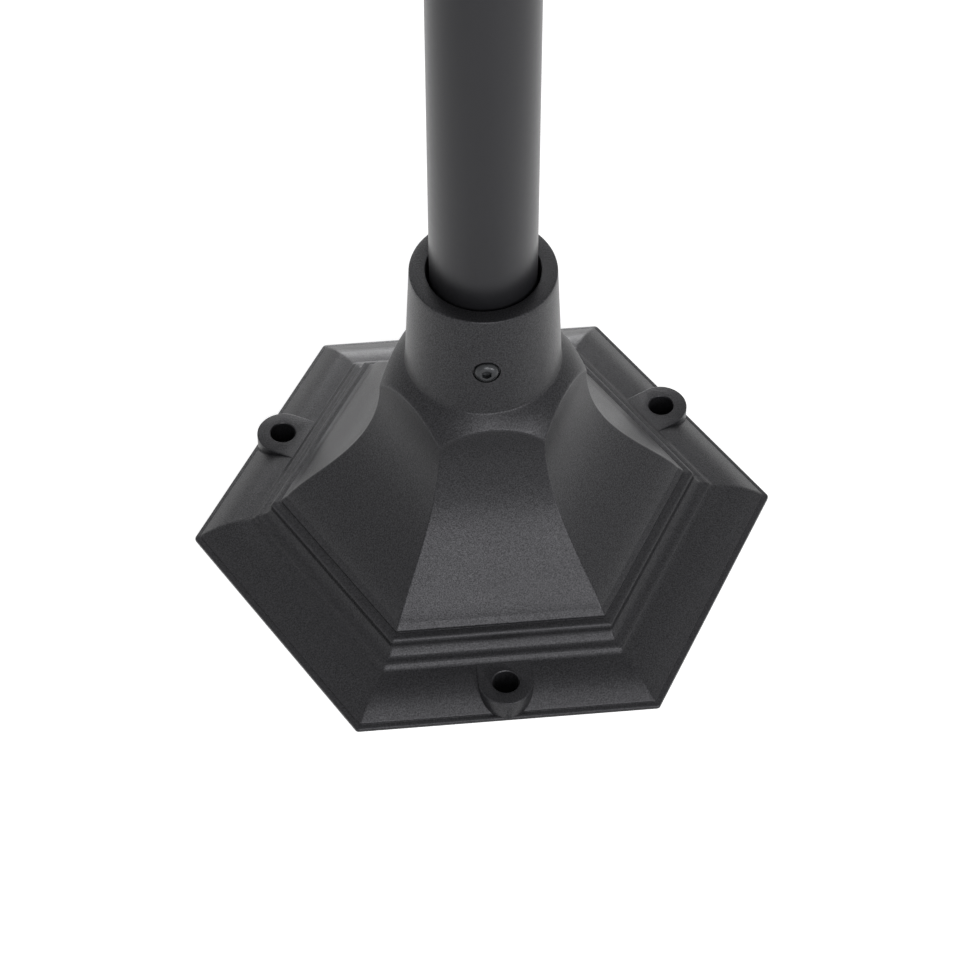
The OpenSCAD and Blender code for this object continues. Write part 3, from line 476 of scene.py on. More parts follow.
PANE_GLASS = clear_glass("float_glass", "#f4f8f6", 0.02 * MM)
BULB_GLASS = clear_glass("blown_glass", "#fbfaf6", 0.03 * MM)
PORCELAIN = moulded("glazed_porcelain", "#dedbd3", "#e8e5de", 0.16, 8 * MM, 0.05 * MM)
CREAM = moulded("polycarbonate_cream", "#d2cbb8", "#d9d3c2", 0.38)
NYLON = moulded("nylon_black", "#191a1b", "#212223", 0.5)
SHEATH = moulded("pvc_sheath", "#141414", "#1b1b1b", 0.45)
RUBBER = moulded("epdm_rubber", "#161616", "#1e1e1d", 0.78)
PHOSPHOR = moulded("yellow_phosphor", "#d9a83c", "#e6bd55", 0.6, 0.8 * MM, 0.05 * MM)
print("others:", PANE_GLASS.name, BULB_GLASS.name, PORCELAIN.name, CREAM.name, NYLON.name)

# %% [markdown]
# ## The foot
# The foot is one sand casting: a flange that lies on the ground, a stepped moulding, a hollow-curved
# pyramid and a round collar. Where the round shoulder of the collar cuts the flat sides of the
# pyramid it leaves six arches, as the chamfer on a nut does. A Boolean would leave those arches with
# hard and ragged edges. Here the rings of the surface follow them, and a smooth minimum of the two
# shapes rounds them off.

# %% Sizes of the foot
def in_mm(box):
    """Low and high corners of a box, from metres to millimetres."""
    return [np.array(corner) / MM for corner in box]


FOOT_R = in_mm(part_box("base_casting"))[1][0]
mast_low, mast_high = in_mm(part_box("mast_tube"))
MAST_R = mast_high[0]
FOOT_WALL = 4.5
RIM_STEP, RIM_H = 3.7, 3.6
FLANGE_W, FLANGE_H = 33.3, 12.2
MOULD_W, MOULD_H = 19.0, 15.7
SWEEP_H = 98.0
SHOULDER_H, SHOULDER_W = 19.1, 15.5
COLLAR_H, COLLAR_DRAFT = 71.4, 3.4
MOUTH_GAP, COLLAR_WALL = 1.9, 9.6
FLANGE_R = FOOT_R - RIM_STEP
FLANGE_Z = RIM_H + FLANGE_H
MOULD_R = FLANGE_R - FLANGE_W
SWEEP_R = MOULD_R - MOULD_W
SWEEP_Z = FLANGE_Z + MOULD_H
NECK_Z = SWEEP_Z + SWEEP_H
COLLAR_Z = NECK_Z + SHOULDER_H
COLLAR_TOP = COLLAR_Z + COLLAR_H
COLLAR_TOP_R = MAST_R + MOUTH_GAP + COLLAR_WALL
COLLAR_R = COLLAR_TOP_R + COLLAR_DRAFT
NECK_R = COLLAR_R + SHOULDER_W
print("foot: corner radius", round(FOOT_R, 1), "mm, height", round(COLLAR_TOP, 1), "mm")

# %% Outline of the foot
RIM_SHARES = [[0, 0], [0, 0.55], [0.4, 0.7], [1, 0.76], [1, 1]]
KNEE_SHARES, KNEE_SOFT_SHARE = (0.46, 0.86), 0.85
MOULD_SHARES = [[0, 0.06], [0.05, 0.14], [0.14, 0.195], [0.28, 0.21], [0.38, 0.26], [0.46, 0.36],
                [0.55, 0.5], [0.58, 0.58], [0.59, 0.76], [0.62, 0.84], [0.68, 0.89], [0.75, 0.905],
                [0.91, 0.92], [0.924, 0.93]]
LIP_EDGE, LIP_TOP, LIP_SOFT = 0.36, 3.3, 0.4
SWEEP_TOP_SHARE, SWEEP_FOOT_SHARES, SWEEP_STEPS = 0.57, (0.19, 0.23), 60
SHOULDER_SHARES = (0.355, 0.59)
# The rings follow the arches from this far under the top of the pyramid
ARCH_DROP = 28
CAST_EDGE = 0.9

rim = [[FOOT_R - s * RIM_STEP, t * RIM_H] for s, t in RIM_SHARES]
low, high = np.array([FLANGE_R, RIM_H]), np.array([MOULD_R, FLANGE_Z])
knee = low + [-KNEE_SHARES[0] * FLANGE_W, KNEE_SHARES[1] * FLANGE_H]
flange = bend([low, low + KNEE_SOFT_SHARE * (knee - low), high + KNEE_SOFT_SHARE * (knee - high), high])
mould = [[MOULD_R - s * MOULD_W, FLANGE_Z + t * MOULD_H] for s, t in MOULD_SHARES]
sweep = bend([[SWEEP_R, SWEEP_Z],
              [SWEEP_R - SWEEP_FOOT_SHARES[0] * (SWEEP_R - NECK_R), SWEEP_Z + SWEEP_FOOT_SHARES[1] * SWEEP_H],
              [NECK_R, NECK_Z - SWEEP_TOP_SHARE * SWEEP_H], [NECK_R, NECK_Z]], SWEEP_STEPS)
shoulder = bend([[NECK_R, NECK_Z],
                 [NECK_R - SHOULDER_SHARES[0] * SHOULDER_W, NECK_Z + SHOULDER_SHARES[1] * SHOULDER_H],
                 [COLLAR_R, COLLAR_Z]], SWEEP_STEPS)
ARCH_FROM = NECK_Z - ARCH_DROP
body_part = sweep[(sweep[:, 1] > SWEEP_Z + LIP_TOP) & (sweep[:, 1] < ARCH_FROM)]
# The pyramid's foot flares into a lip, whose slanting face stands a little over the moulding
lip_edge = [mould[-1][0], SWEEP_Z + LIP_EDGE]
lip = soften([mould[-1], lip_edge, body_part[0], body_part[1]], LIP_SOFT, closed=False)
low_outline = soften(np.vstack([rim[:-1], flange[:-1], mould]), CAST_EDGE, closed=False)
low_outline = with_flat(np.vstack([low_outline, lip[1:], body_part[2:]]), 1)
print("outline of flange, moulding and pyramid:", len(low_outline), "points")

# %% Arches where the round shoulder cuts the flat sides
ARCH_SOFT = 0.7
ARCH_BAND = 2.4
BELOW_STEPS, ACROSS_STEPS, ABOVE_STEPS = 10, 9, 7
CREASE, CREASE_STEPS = 0.6, 6


def smooth_min(a, b, soft):
    """The smaller of two numbers, rounded off where they are within soft of each other."""
    share = np.clip(0.5 + 0.5 * (b - a) / soft, 0, 1)
    return b + (a - b) * share - soft * share * (1 - share)


def neck_rings():
    """Radii and heights of the rings between the pyramid and the collar. Some lie below the arch,
    some across it and some above it, so at each turn their heights follow the arch."""
    fall = (shoulder[1, 0] - shoulder[0, 0]) / (shoulder[1, 1] - shoulder[0, 1])
    arch = np.interp(-NECK_R * HEXAGON, -shoulder[:, 0], shoulder[:, 1])
    rise = np.linspace(0, 1, BELOW_STEPS, endpoint=False)[:, None]
    below = rise * (arch - ARCH_BAND - ARCH_FROM) + ARCH_FROM
    across = arch + np.linspace(-ARCH_BAND, ARCH_BAND, ACROSS_STEPS)[:, None]
    rise = np.linspace(0, 1, ABOVE_STEPS)[1:, None]
    above = arch + ARCH_BAND + rise * (COLLAR_Z - CREASE - arch - ARCH_BAND)
    height = np.vstack([below, across, above])
    flat_r = np.interp(height, sweep[:, 1], sweep[:, 0]) * HEXAGON
    round_r = np.interp(height, shoulder[:, 1], shoulder[:, 0]) + fall * np.minimum(height - NECK_Z, 0)
    return smooth_min(flat_r, round_r, ARCH_SOFT), height


neck_radius, neck_height = neck_rings()
arch_height = neck_height[BELOW_STEPS + ACROSS_STEPS // 2]
print("arches rise to", round(float(arch_height.max()), 1), "mm")

# %% Collar, seat of the mast and hollow underside
SEAT_RISE, SEAT_GAP, SEAT_WALL = 16.4, 0.3, 6.0
SEAT_Z, LEDGE_T, LEDGE_IN = mast_low[2], 6.0, 6.0
WALL_STEPS, COLLAR_EDGE, UNDER_SKIP = 12, 1.3, 4
SEAT_TOP = COLLAR_Z + SEAT_RISE
HOLLOW_TOP = NECK_Z - FOOT_WALL
SEAT_OUT = MAST_R + SEAT_GAP + SEAT_WALL
COLLAR_FALL = COLLAR_DRAFT / COLLAR_H
crease_low = [float(np.interp(COLLAR_Z - CREASE, shoulder[:, 1], shoulder[:, 0])), COLLAR_Z - CREASE]
crease_high = [COLLAR_R - COLLAR_FALL * CREASE, COLLAR_Z + CREASE]
crease = bend([crease_low, [COLLAR_R, COLLAR_Z], crease_high], CREASE_STEPS)
wall = np.linspace(crease[-1], [COLLAR_TOP_R, COLLAR_TOP], WALL_STEPS)
mouth_r = MAST_R + MOUTH_GAP
inside = [[mouth_r, COLLAR_TOP], [mouth_r, SEAT_TOP], [MAST_R + SEAT_GAP, SEAT_TOP],
          [MAST_R + SEAT_GAP, SEAT_Z], [MAST_R - LEDGE_IN, SEAT_Z], [MAST_R - LEDGE_IN, SEAT_Z - LEDGE_T],
          [SEAT_OUT, SEAT_Z - LEDGE_T], [SEAT_OUT, HOLLOW_TOP]]
collar = soften(np.vstack([wall, inside]), COLLAR_EDGE, closed=False)
upper = with_flat(np.vstack([crease[1:-1], collar]), 0)
# The underside is the outside moved in by the wall, with fewer points
under = np.vstack([(sweep - FOOT_WALL)[::-UNDER_SKIP], np.maximum(flange - FOOT_WALL, 0)[::-1]])
under = with_flat(under, 1)
low_r, low_z = rings(low_outline)
upper_r, upper_z = rings(upper)
under_r, under_z = rings(under)
foot_grid = around(np.vstack([low_r, neck_radius, upper_r, under_r]),
                   np.vstack([low_z, neck_height, upper_z, under_z]))
foot = body_from("foot_casting", [shell(foot_grid, closed=True)])
print("foot casting before its lugs:", len(foot.data.polygons), "faces")

# %% [markdown]
# ## Lugs, spot faces and bores
# Three round lugs stand on the flange, level with its inner edge, and each has a hole for an anchor.
# They are part of the same casting, so they are joined to it with an exact Boolean, and the holes,
# which are drilled afterwards, are cut with another.

# %% Lugs and webs
LUG_TURNS = [math.radians(angle) for angle in (270, 30, 150)]
LUG_IN, LUG_R, LUG_HOLE_R, LUG_RISE = 16.4, 16.2, 7.8, 0.1
LUG_PITCH = FOOT_R * FLAT_SHARE - LUG_IN
LUG_TOP = FLANGE_Z + LUG_RISE
LUG_ROOT_IN, LUG_ROOT_SHARE = 5.0, 1.02
LUG_ROOT = MOULD_R * FLAT_SHARE - LUG_ROOT_IN
LUG_ROOT_HALF = LUG_ROOT_SHARE * LUG_R
LUG_FOOT, LUG_EDGE, LUG_STEPS = 0.3, 0.7, 40


def prism(outline, levels):
    """Shell of a closed flat outline raised through levels, each an inset and a height. A point moves
    in along the mean direction of the two sides that meet there."""
    p = np.asarray(outline, float)
    along = np.roll(p, -1, axis=0) - np.roll(p, 1, axis=0)
    out = np.column_stack([along[:, 1], -along[:, 0]]) / np.linalg.norm(along, axis=1)[:, None]
    layers = [np.column_stack([p - inset * out, np.full(len(p), height)]) for inset, height in levels]
    return shell(np.array(layers))


def rounded_levels(bottom, top, edge, steps=4):
    """Levels of a prism with a rounded top edge: a quarter circle of radius edge."""
    turn = np.linspace(0, math.pi / 2, steps + 1)
    return [(0, bottom)] + [(edge * (1 - math.cos(a)), top - edge + edge * math.sin(a)) for a in turn]


def lug():
    """A round boss with a web that runs in under the moulding: an arc, closed by the tangents from
    the two corners of the web's root."""
    reach = math.hypot(LUG_PITCH - LUG_ROOT, LUG_ROOT_HALF)
    corner = math.atan2(LUG_ROOT_HALF, LUG_ROOT - LUG_PITCH)
    end = corner - math.acos(LUG_R / reach)
    turn = np.linspace(-end, end, LUG_STEPS)
    arc = np.column_stack([LUG_PITCH + LUG_R * np.cos(turn), LUG_R * np.sin(turn)])
    root = [[LUG_ROOT, LUG_ROOT_HALF], [LUG_ROOT, -LUG_ROOT_HALF]]
    return prism(np.vstack([arc, root]), rounded_levels(LUG_FOOT, LUG_TOP, LUG_EDGE))


GUSSET_T, GUSSET_RISE = 5.0, 45.0
# How far a rib runs into the seat's boss, and up into the roof of the hollow
GUSSET_IN, GUSSET_UP = 1.0, 2.0


def gusset():
    """A rib inside a corner, from the seat's boss to the middle of the pyramid's wall."""
    in_hollow = (sweep[:, 1] > SWEEP_Z + GUSSET_RISE) & (sweep[:, 1] < HOLLOW_TOP)
    edge = sweep[in_hollow] - [FOOT_WALL / 2, 0]
    top = edge[-1, 1] + GUSSET_UP
    foot_in, top_in = [SEAT_OUT - GUSSET_IN, edge[0, 1]], [SEAT_OUT - GUSSET_IN, top]
    outline = np.vstack([[foot_in], edge, [[edge[-1, 0] - GUSSET_UP, top]], [top_in]])
    rib = prism(outline, [(0, -GUSSET_T / 2), (0, GUSSET_T / 2)])
    return moved(rib, Matrix.Rotation(math.pi / 2, 4, "X"))


print("lug holes lie on a circle of", round(2 * LUG_PITCH, 1), "mm")

# %% Join and cut
# The clamp screws stand a little off the middle of their sides
CLAMP_SHIFT, CLAMP_RISE = math.radians(-3), 32.8
CLAMP_TURNS = [turn + CLAMP_SHIFT for turn in LUG_TURNS]
CLAMP_Z = COLLAR_Z + CLAMP_RISE
SPOT_R, SPOT_DEPTH, SPOT_EDGE, CLAMP_HOLE_R = 8.0, 2.2, 0.3, 4.08
SPOT_X = COLLAR_R - COLLAR_FALL * CLAMP_RISE - SPOT_DEPTH
EARTH_R, EARTH_BOSS_R, EARTH_EDGE, EARTH_RISE, EARTH_DEPTH = 2.5, 7.0, 0.6, 20.5, 12.0
earth_low, earth_high = in_mm(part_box("earth_screw"))
EARTH_Y = (earth_low[1] + earth_high[1]) / 2
EARTH_FACE = SWEEP_Z + EARTH_RISE
# How far a drill reaches past its cut, and where it starts, out from the axis or up
CLEAR, DRILL_X, DRILL_Z = 5.0, 70.0, 30.0
# What the cone of a lug hole takes off its edge, and how far it goes on above
LUG_BEVEL, LUG_OVER = 0.5, 0.4
cone_r = LUG_HOLE_R + LUG_BEVEL + LUG_OVER
hole = lathe([[0, -CLEAR], [LUG_HOLE_R, -CLEAR], [LUG_HOLE_R, LUG_TOP - LUG_BEVEL],
              [cone_r, LUG_TOP + LUG_OVER], [cone_r, DRILL_Z], [0, DRILL_Z]], turns=FINE)
clamp_hole = lathe([[0, CLEAR], [CLAMP_HOLE_R, CLEAR], [CLAMP_HOLE_R, SPOT_X], [SPOT_R - SPOT_EDGE, SPOT_X],
                    [SPOT_R, SPOT_X + SPOT_EDGE], [SPOT_R, DRILL_X], [0, DRILL_X]], turns=FINE)


def rod(radius, low, high):
    """A plain round rod along Z, for a hole or a boss."""
    return lathe([[0, low], [radius, low], [radius, high], [0, high]], turns=FINE)


def earth_boss():
    """A boss whose slanting top ends inside the wall of the pyramid's back: the height there is read
    off the pyramid's outline at each point's distance from the axis."""
    reach = np.array([0.0, EARTH_BOSS_R - EARTH_EDGE, EARTH_BOSS_R, EARTH_BOSS_R, 0.0])[:, None]
    x, y = reach * np.cos(FINE), EARTH_Y + reach * np.sin(FINE)
    in_wall = np.interp(-y / FLAT_SHARE - FOOT_WALL / 2, -sweep[:, 0], sweep[:, 1])
    z = np.vstack([EARTH_FACE + 0 * x[:2], EARTH_FACE + EARTH_EDGE + 0 * x[:1], in_wall[3:]])
    return shell(np.stack([x, y, z], axis=-1))


earth_hole = moved(rod(EARTH_R, EARTH_FACE - CLEAR, EARTH_FACE + EARTH_DEPTH),
                   Matrix.Translation((0, EARTH_Y, 0)))
webs = [turned(gusset(), i * SIDE_TURN) for i in range(SIDES)]
combine(foot, [turned(lug(), turn) for turn in LUG_TURNS] + webs + [earth_boss()], "UNION")
holes = [turned(hole, turn, LUG_PITCH) for turn in LUG_TURNS]
holes += [moved(clamp_hole, outward(turn, CLAMP_Z)) for turn in CLAMP_TURNS]
combine(foot, holes + [earth_hole], "DIFFERENCE")
dress(foot, SAND, "foot", "base_casting")

# %% [markdown]
# ## The mast and its clamp screws
# The mast is a drawn tube with a wall of 2.5 mm. Its ends are sawn and lightly broken, so its
# outline is a small closed loop turned round the axis. Each clamp screw is a button-head screw of
# blackened steel. Its hexagon socket could be cut with a Boolean, but the way of the foot does it in
# one surface: inside the socket the rings are six-sided, and outside it they are round.

# %% Mast
MAST_WALL, MAST_EDGE = 2.5, 0.5
mast_outline = soften([[MAST_R, mast_low[2]], [MAST_R, mast_high[2]], [MAST_R - MAST_WALL, mast_high[2]],
                       [MAST_R - MAST_WALL, mast_low[2]]], MAST_EDGE)
mast = body_from("mast", [lathe(mast_outline, closed=True)])
dress(mast, SATIN, "mast", "mast_tube")

# %% Clamp screws
SCREW_R, HEAD_R, HEAD_H, KEY_R, KEY_DEPTH = 4.0, 7.0, 4.4, 2.9, 2.6
POINT_EDGE, HEAD_EDGE, HEAD_LIFT, KEY_LAND = 0.8, 0.3, 0.2, 0.7
DOME_SHARES, DOME_DROP, DOME_STEPS, KEY_EDGE, KEY_POINT = (0.2, 0.93), 0.1, 10, (0.1, 0.25), 0.6
KEY_TURNS = full_turn(96)
KEY = FLAT_SHARE / np.cos(np.mod(KEY_TURNS, SIDE_TURN) - SIDE_TURN / 2)


def clamp_screw():
    """A button-head screw along Z. Its outline runs up the shank, over the domed head and down into
    the socket, where its rings turn from round to six-sided."""
    tip, seat = MAST_R + SEAT_GAP, SPOT_X + HEAD_LIFT
    top = seat + HEAD_H
    dome = bend([[HEAD_R, seat + DOME_SHARES[0] * HEAD_H], [DOME_SHARES[1] * HEAD_R, top - DOME_DROP],
                 [KEY_R + KEY_LAND, top]], DOME_STEPS)
    body = [[0, tip], [SCREW_R - POINT_EDGE, tip], [SCREW_R, tip + POINT_EDGE], [SCREW_R, seat],
            [HEAD_R - HEAD_EDGE, seat], [HEAD_R, seat + HEAD_EDGE]]
    key = [[KEY_R + KEY_EDGE[0], top - KEY_EDGE[1]], [KEY_R, top - KEY_DEPTH],
           [0, top - KEY_DEPTH - KEY_POINT]]
    outline = np.vstack([with_flat(body, 0), with_flat(dome, 0), with_flat(key, 1)])
    radius, height = rings(outline, KEY)
    return shell(around(radius, height, KEY_TURNS))


for side, turn in zip(("front", "right", "left"), CLAMP_TURNS):
    screw = body_from("clamp_" + side, [moved(clamp_screw(), outward(turn, CLAMP_Z))])
    dress(screw, BLACK_STEEL, "clamp_" + side, "clamp_screw_" + side)

# %% [markdown]
# ## The lantern's socket and floor
# A round socket slips over the top of the mast, and above it a six-sided bowl opens out to the
# lantern's floor. This is one casting too, drawn like the foot: each point of its outline says how
# six-sided its ring is. The cup inside is round, and holds the slack of the lead.

# %% Socket casting
MAST_TOP = mast_high[2]
SOCKET_DEPTH, SOCKET_WALL, SOCKET_TAPER, FIT = 55.0, 7.2, 3.0, 0.2
SOCKET_Z = MAST_TOP - SOCKET_DEPTH
SOCKET_R = MAST_R + FIT + SOCKET_WALL
BOWL_LIFT, BOWL_H, BOWL_HANDLE, FLOOR_R, FLOOR_T, LIP_IN = 6.0, 46.0, 0.6, 98.0, 14.0, 20.0
BOWL_Z = MAST_TOP + BOWL_LIFT
BOWL_R = (SOCKET_R + SOCKET_TAPER) / FLAT_SHARE + FIT
LIP_R, LIP_Z = FLOOR_R - LIP_IN, BOWL_Z + BOWL_H
FLOOR_Z = LIP_Z + FLOOR_T
CUP_LIFT, CUP_R, CUP_WALL, LEAD_HOLE_R = 12.0, 26.0, 20.0, 20.0
CUP_Z, CUP_TOP_R = MAST_TOP + CUP_LIFT, LIP_R - CUP_WALL
# The bowl starts with an upright six-sided band of this height
STEP_H = 3.0
FLOOR_SHARES = [[0.1, 0.02], [0.22, 0.08], [0.28, 0.18], [0.6, 0.22], [0.8, 0.3], [0.92, 0.45],
                [1, 0.62], [1, 1]]
bowl = bend([[BOWL_R, BOWL_Z], [BOWL_R, BOWL_Z + BOWL_HANDLE * BOWL_H],
             [LIP_R - BOWL_HANDLE * (LIP_R - BOWL_R), LIP_Z], [LIP_R, LIP_Z]])
edge = [[LIP_R + s * LIP_IN, LIP_Z + t * FLOOR_T] for s, t in FLOOR_SHARES]
tube = np.linspace([SOCKET_R, SOCKET_Z], [SOCKET_R + SOCKET_TAPER, BOWL_Z - STEP_H], 8)
cup = [[CUP_TOP_R, FLOOR_Z], [CUP_R, CUP_Z], [LEAD_HOLE_R, CUP_Z], [LEAD_HOLE_R, MAST_TOP],
       [MAST_R + FIT, MAST_TOP], [MAST_R + FIT, SOCKET_Z]]
socket_outline = np.vstack([with_flat(tube, 0), with_flat([[BOWL_R, BOWL_Z - STEP_H]], 1),
                            with_flat(bowl, 1), with_flat(edge, 1), with_flat(cup, 0)])
socket_shell = shell(around(*rings(soften(socket_outline, CAST_EDGE))), closed=True)
socket = body_from("lantern_socket_casting", [socket_shell])

# %% Its screw holes
CORNER_TURNS = [i * SIDE_TURN for i in range(SIDES)]
GRUB_R, GRUB_SHARE, GRUB_FROM, GRUB_TO = 3.04, 0.4, 20.0, 60.0
CAGE_SCREW_R, CAGE_SCREW_IN, CAGE_HEAD_R, CAGE_SEAT, CAGE_DRILL = 2.08, 8.5, 4.0, 4.0, 20.0
TRAY_SCREW_R, TRAY_SCREW_OUT, TRAY_SCREW_DEPTH = 1.54, 6.0, 6.0
grub = rod(GRUB_R, GRUB_FROM, GRUB_TO)
head_low, head_seat, past_floor = LIP_Z - CAGE_DRILL, LIP_Z + CAGE_SEAT, FLOOR_Z + CLEAR
cage_hole = lathe([[0, head_low], [CAGE_HEAD_R, head_low], [CAGE_HEAD_R, head_seat],
                   [CAGE_SCREW_R, head_seat], [CAGE_SCREW_R, past_floor], [0, past_floor]], turns=FINE)
tray_hole = rod(TRAY_SCREW_R, FLOOR_Z - TRAY_SCREW_DEPTH, past_floor)
cuts = [moved(grub, outward(turn, SOCKET_Z + GRUB_SHARE * SOCKET_DEPTH)) for turn in LUG_TURNS]
cuts += [turned(cage_hole, turn, FLOOR_R - CAGE_SCREW_IN) for turn in CORNER_TURNS]
cuts += [turned(tray_hole, turn, CUP_TOP_R + TRAY_SCREW_OUT) for turn in LUG_TURNS]
combine(socket, cuts, "DIFFERENCE")
dress(socket, SAND, "mast", "lantern_socket")

# %% [markdown]
# ## The roof
# The roof is a thin casting that sweeps up from wide eaves to a small crown. Its underside is hollow,
# and a skirt round the eaves sheds the rain clear of the glass. At the back is the knuckle of its
# hinge, and at the front a boss for the thumb screw. The outline goes up the outside, down into the
# recess of the vent cap, and back along the underside.

# %% Roof casting
CAGE_TOP = in_mm(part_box("lantern_cage"))[1][2]
roof_high = in_mm(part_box("roof_casting"))[1]
EAVES_R, CROWN_R, ROOF_WALL, SKIRT_T = roof_high[0], 42.0, 4.0, 6.0
SKIRT_DROP, SKIRT_H, RECESS_DEPTH, RECESS_IN = 2.0, 9.0, 6.0, 9.0
SKIRT_Z, ROOF_Z = CAGE_TOP - SKIRT_DROP, CAGE_TOP + SKIRT_DROP
ROOF_FOOT_Z, CROWN_TOP = SKIRT_Z + SKIRT_H, roof_high[2]
CROWN_Z = CROWN_TOP - RECESS_DEPTH
LAND_R, STUD_R, VENT_R = 126.0, 4.2, CROWN_R * FLAT_SHARE - RECESS_IN + FIT
ROOF_HANDLES, ROOF_STEPS, ROOF_EDGE = ((0.5, 0.05), (0.88, 0.45)), 40, 1.1


def roof_curve(inset):
    """The swept side of the roof, moved in by inset: a Bezier curve whose two handles are shares of
    the roof's width and rise."""
    width, rise = EAVES_R - CROWN_R, CROWN_Z - ROOF_FOOT_Z
    start = np.array([EAVES_R - inset, ROOF_FOOT_Z - inset / 2])
    handles = [start + [-s * width, t * rise] for s, t in ROOF_HANDLES]
    return bend([start, *handles, [CROWN_R - inset, CROWN_Z - inset / 2]], ROOF_STEPS)


lining = roof_curve(ROOF_WALL)[::-1]
lining = lining[lining[:, 0] < LAND_R]
roof_outer = np.vstack([[[EAVES_R, SKIRT_Z]], roof_curve(0), [[CROWN_R, CROWN_TOP]]])
roof_recess = [[VENT_R, CROWN_TOP], [VENT_R, CROWN_Z], [STUD_R, CROWN_Z], [STUD_R, CROWN_Z - ROOF_WALL]]
roof_under = [[LAND_R, ROOF_Z], [EAVES_R - SKIRT_T, ROOF_Z], [EAVES_R - SKIRT_T, SKIRT_Z]]
roof_under = np.vstack([lining, roof_under])
roof_outline = np.vstack([with_flat(roof_outer, 1), with_flat(roof_recess, 0), with_flat(roof_under, 1)])
roof = body_from("roof_shell", [shell(around(*rings(soften(roof_outline, ROOF_EDGE))), closed=True)])

# %% Knuckle, boss and holes of the roof
HINGE_R, HINGE_HALF, HINGE_EDGE, HINGE_OUT, HINGE_DROP, PIN_R = 6.0, 17.5, 0.7, 9.7, 4.0, 3.08
THUMB_R, THUMB_BOSS_R, THUMB_DROP, BOSS_IN, BOSS_BACK = 2.58, 6.0, 1.5, 2.0, 0.1
VENT_HOLE_R, VENT_HOLE_X = 5.0, 14.5
# Where each drill starts and ends
PIN_DRILL, THUMB_DRILL, VENT_DRILL = (-60, 60), (90, 160), (CROWN_Z - 9, CROWN_Z + 3)
eaves_y, skirt_y = EAVES_R * FLAT_SHARE, (EAVES_R - SKIRT_T) * FLAT_SHARE
HINGE_Y, HINGE_Z = eaves_y + HINGE_OUT, CAGE_TOP - HINGE_DROP
to_hinge = Matrix.Translation((0, HINGE_Y, HINGE_Z)) @ Matrix.Rotation(math.pi / 2, 4, "Y")
to_thumb = outward(LUG_TURNS[0], CAGE_TOP - THUMB_DROP)
knuckle = lathe(soften([[0, -HINGE_HALF], [HINGE_R, -HINGE_HALF], [HINGE_R, HINGE_HALF], [0, HINGE_HALF]],
                       HINGE_EDGE, closed=False), turns=FINE)
plate = prism([[-HINGE_HALF, skirt_y], [HINGE_HALF, skirt_y], [HINGE_HALF, HINGE_Y], [-HINGE_HALF, HINGE_Y]],
              [(0, SKIRT_Z), (0, HINGE_Z + HINGE_R)])
thumb_boss = moved(rod(THUMB_BOSS_R, skirt_y - BOSS_IN, eaves_y - BOSS_BACK), to_thumb)
combine(roof, [plate, thumb_boss], "UNION")
combine(roof, [moved(knuckle, to_hinge)], "UNION")
pin_hole = moved(rod(PIN_R, *PIN_DRILL), to_hinge)
thumb_hole = moved(rod(THUMB_R, *THUMB_DRILL), to_thumb)
vents = [turned(rod(VENT_HOLE_R, *VENT_DRILL), turn, VENT_HOLE_X) for turn in CORNER_TURNS]
combine(roof, [pin_hole, thumb_hole] + vents, "DIFFERENCE")
dress(roof, SAND, "roof", "roof_casting")

# %% [markdown]
# ## Finial
# The finial is turned from bar on a lathe: a foot, a neck with a bead, a ball and a small tip. Its
# stud runs down through the vent cap and the crown, and a nut under the crown holds all three.

# %% Finial
finial_low, finial_high = in_mm(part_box("finial"))
FINIAL_R, FINIAL_H, FINIAL_EDGE = finial_high[0], 52.0, 0.8
FINIAL_Z = finial_high[2] - FINIAL_H
STUD_FOOT, ROD_R, STUD_EDGE = finial_low[2] - FINIAL_Z, 4.0, (0.4, 0.5)
BALL_SHARE, BALL_TURNS, TIP_R, TIP_TOP_R, TIP_SHARE = 0.6, (-62, 72, 28), 1.4, 1.2, 0.94
FINIAL_SHARES = [[0.77, 0], [0.77, 0.04], [0.46, 0.1], [0.38, 0.17], [0.38, 0.27], [0.62, 0.31],
                 [0.62, 0.35], [0.46, 0.37]]
ball_turn = np.radians(np.linspace(*BALL_TURNS))
ball = np.column_stack([np.cos(ball_turn), np.sin(ball_turn)]) * FINIAL_R + [0, BALL_SHARE * FINIAL_H]
stem = soften([[s * FINIAL_R, t * FINIAL_H] for s, t in FINIAL_SHARES], FINIAL_EDGE, closed=False)
tip = [ball[-1], [TIP_R, TIP_SHARE * FINIAL_H], [TIP_TOP_R, FINIAL_H], [0, FINIAL_H]]
tip = soften(tip, FINIAL_EDGE, closed=False)[1:]
stud = [[0, STUD_FOOT], [ROD_R - STUD_EDGE[0], STUD_FOOT], [ROD_R, STUD_FOOT + STUD_EDGE[1]],
        [ROD_R, 0]]
finial_outline = np.vstack([stud, stem, ball, tip]) + [0, FINIAL_Z]
finial = body_from("finial_turned", [lathe(finial_outline)])
dress(finial, SAND, "roof", "finial")

# %% [markdown]
# ## The bulb
# The bulb is blown thin: its wall is about 1 mm, so it is drawn as two surfaces, one inside the
# other, and light bends in and out of the glass as it does through a real one. The screw cap is
# pressed, and its thread is a true helix: the radius swells with the height minus the turn.

# %% Bulb glass
(glass_low, glass_high), (cap_low, cap_high) = in_mm(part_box("bulb_glass")), in_mm(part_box("bulb_cap"))
BULB_R, BULB_LEN, GLASS_T = glass_high[0], glass_high[2] - glass_low[2], 1.0
CAP_R, CAP_H = cap_high[0], cap_high[2] - cap_low[2]
NECK_IN, NECK_SHARES, GLASS_STEPS = 0.5, (0.2, 0.21), 30


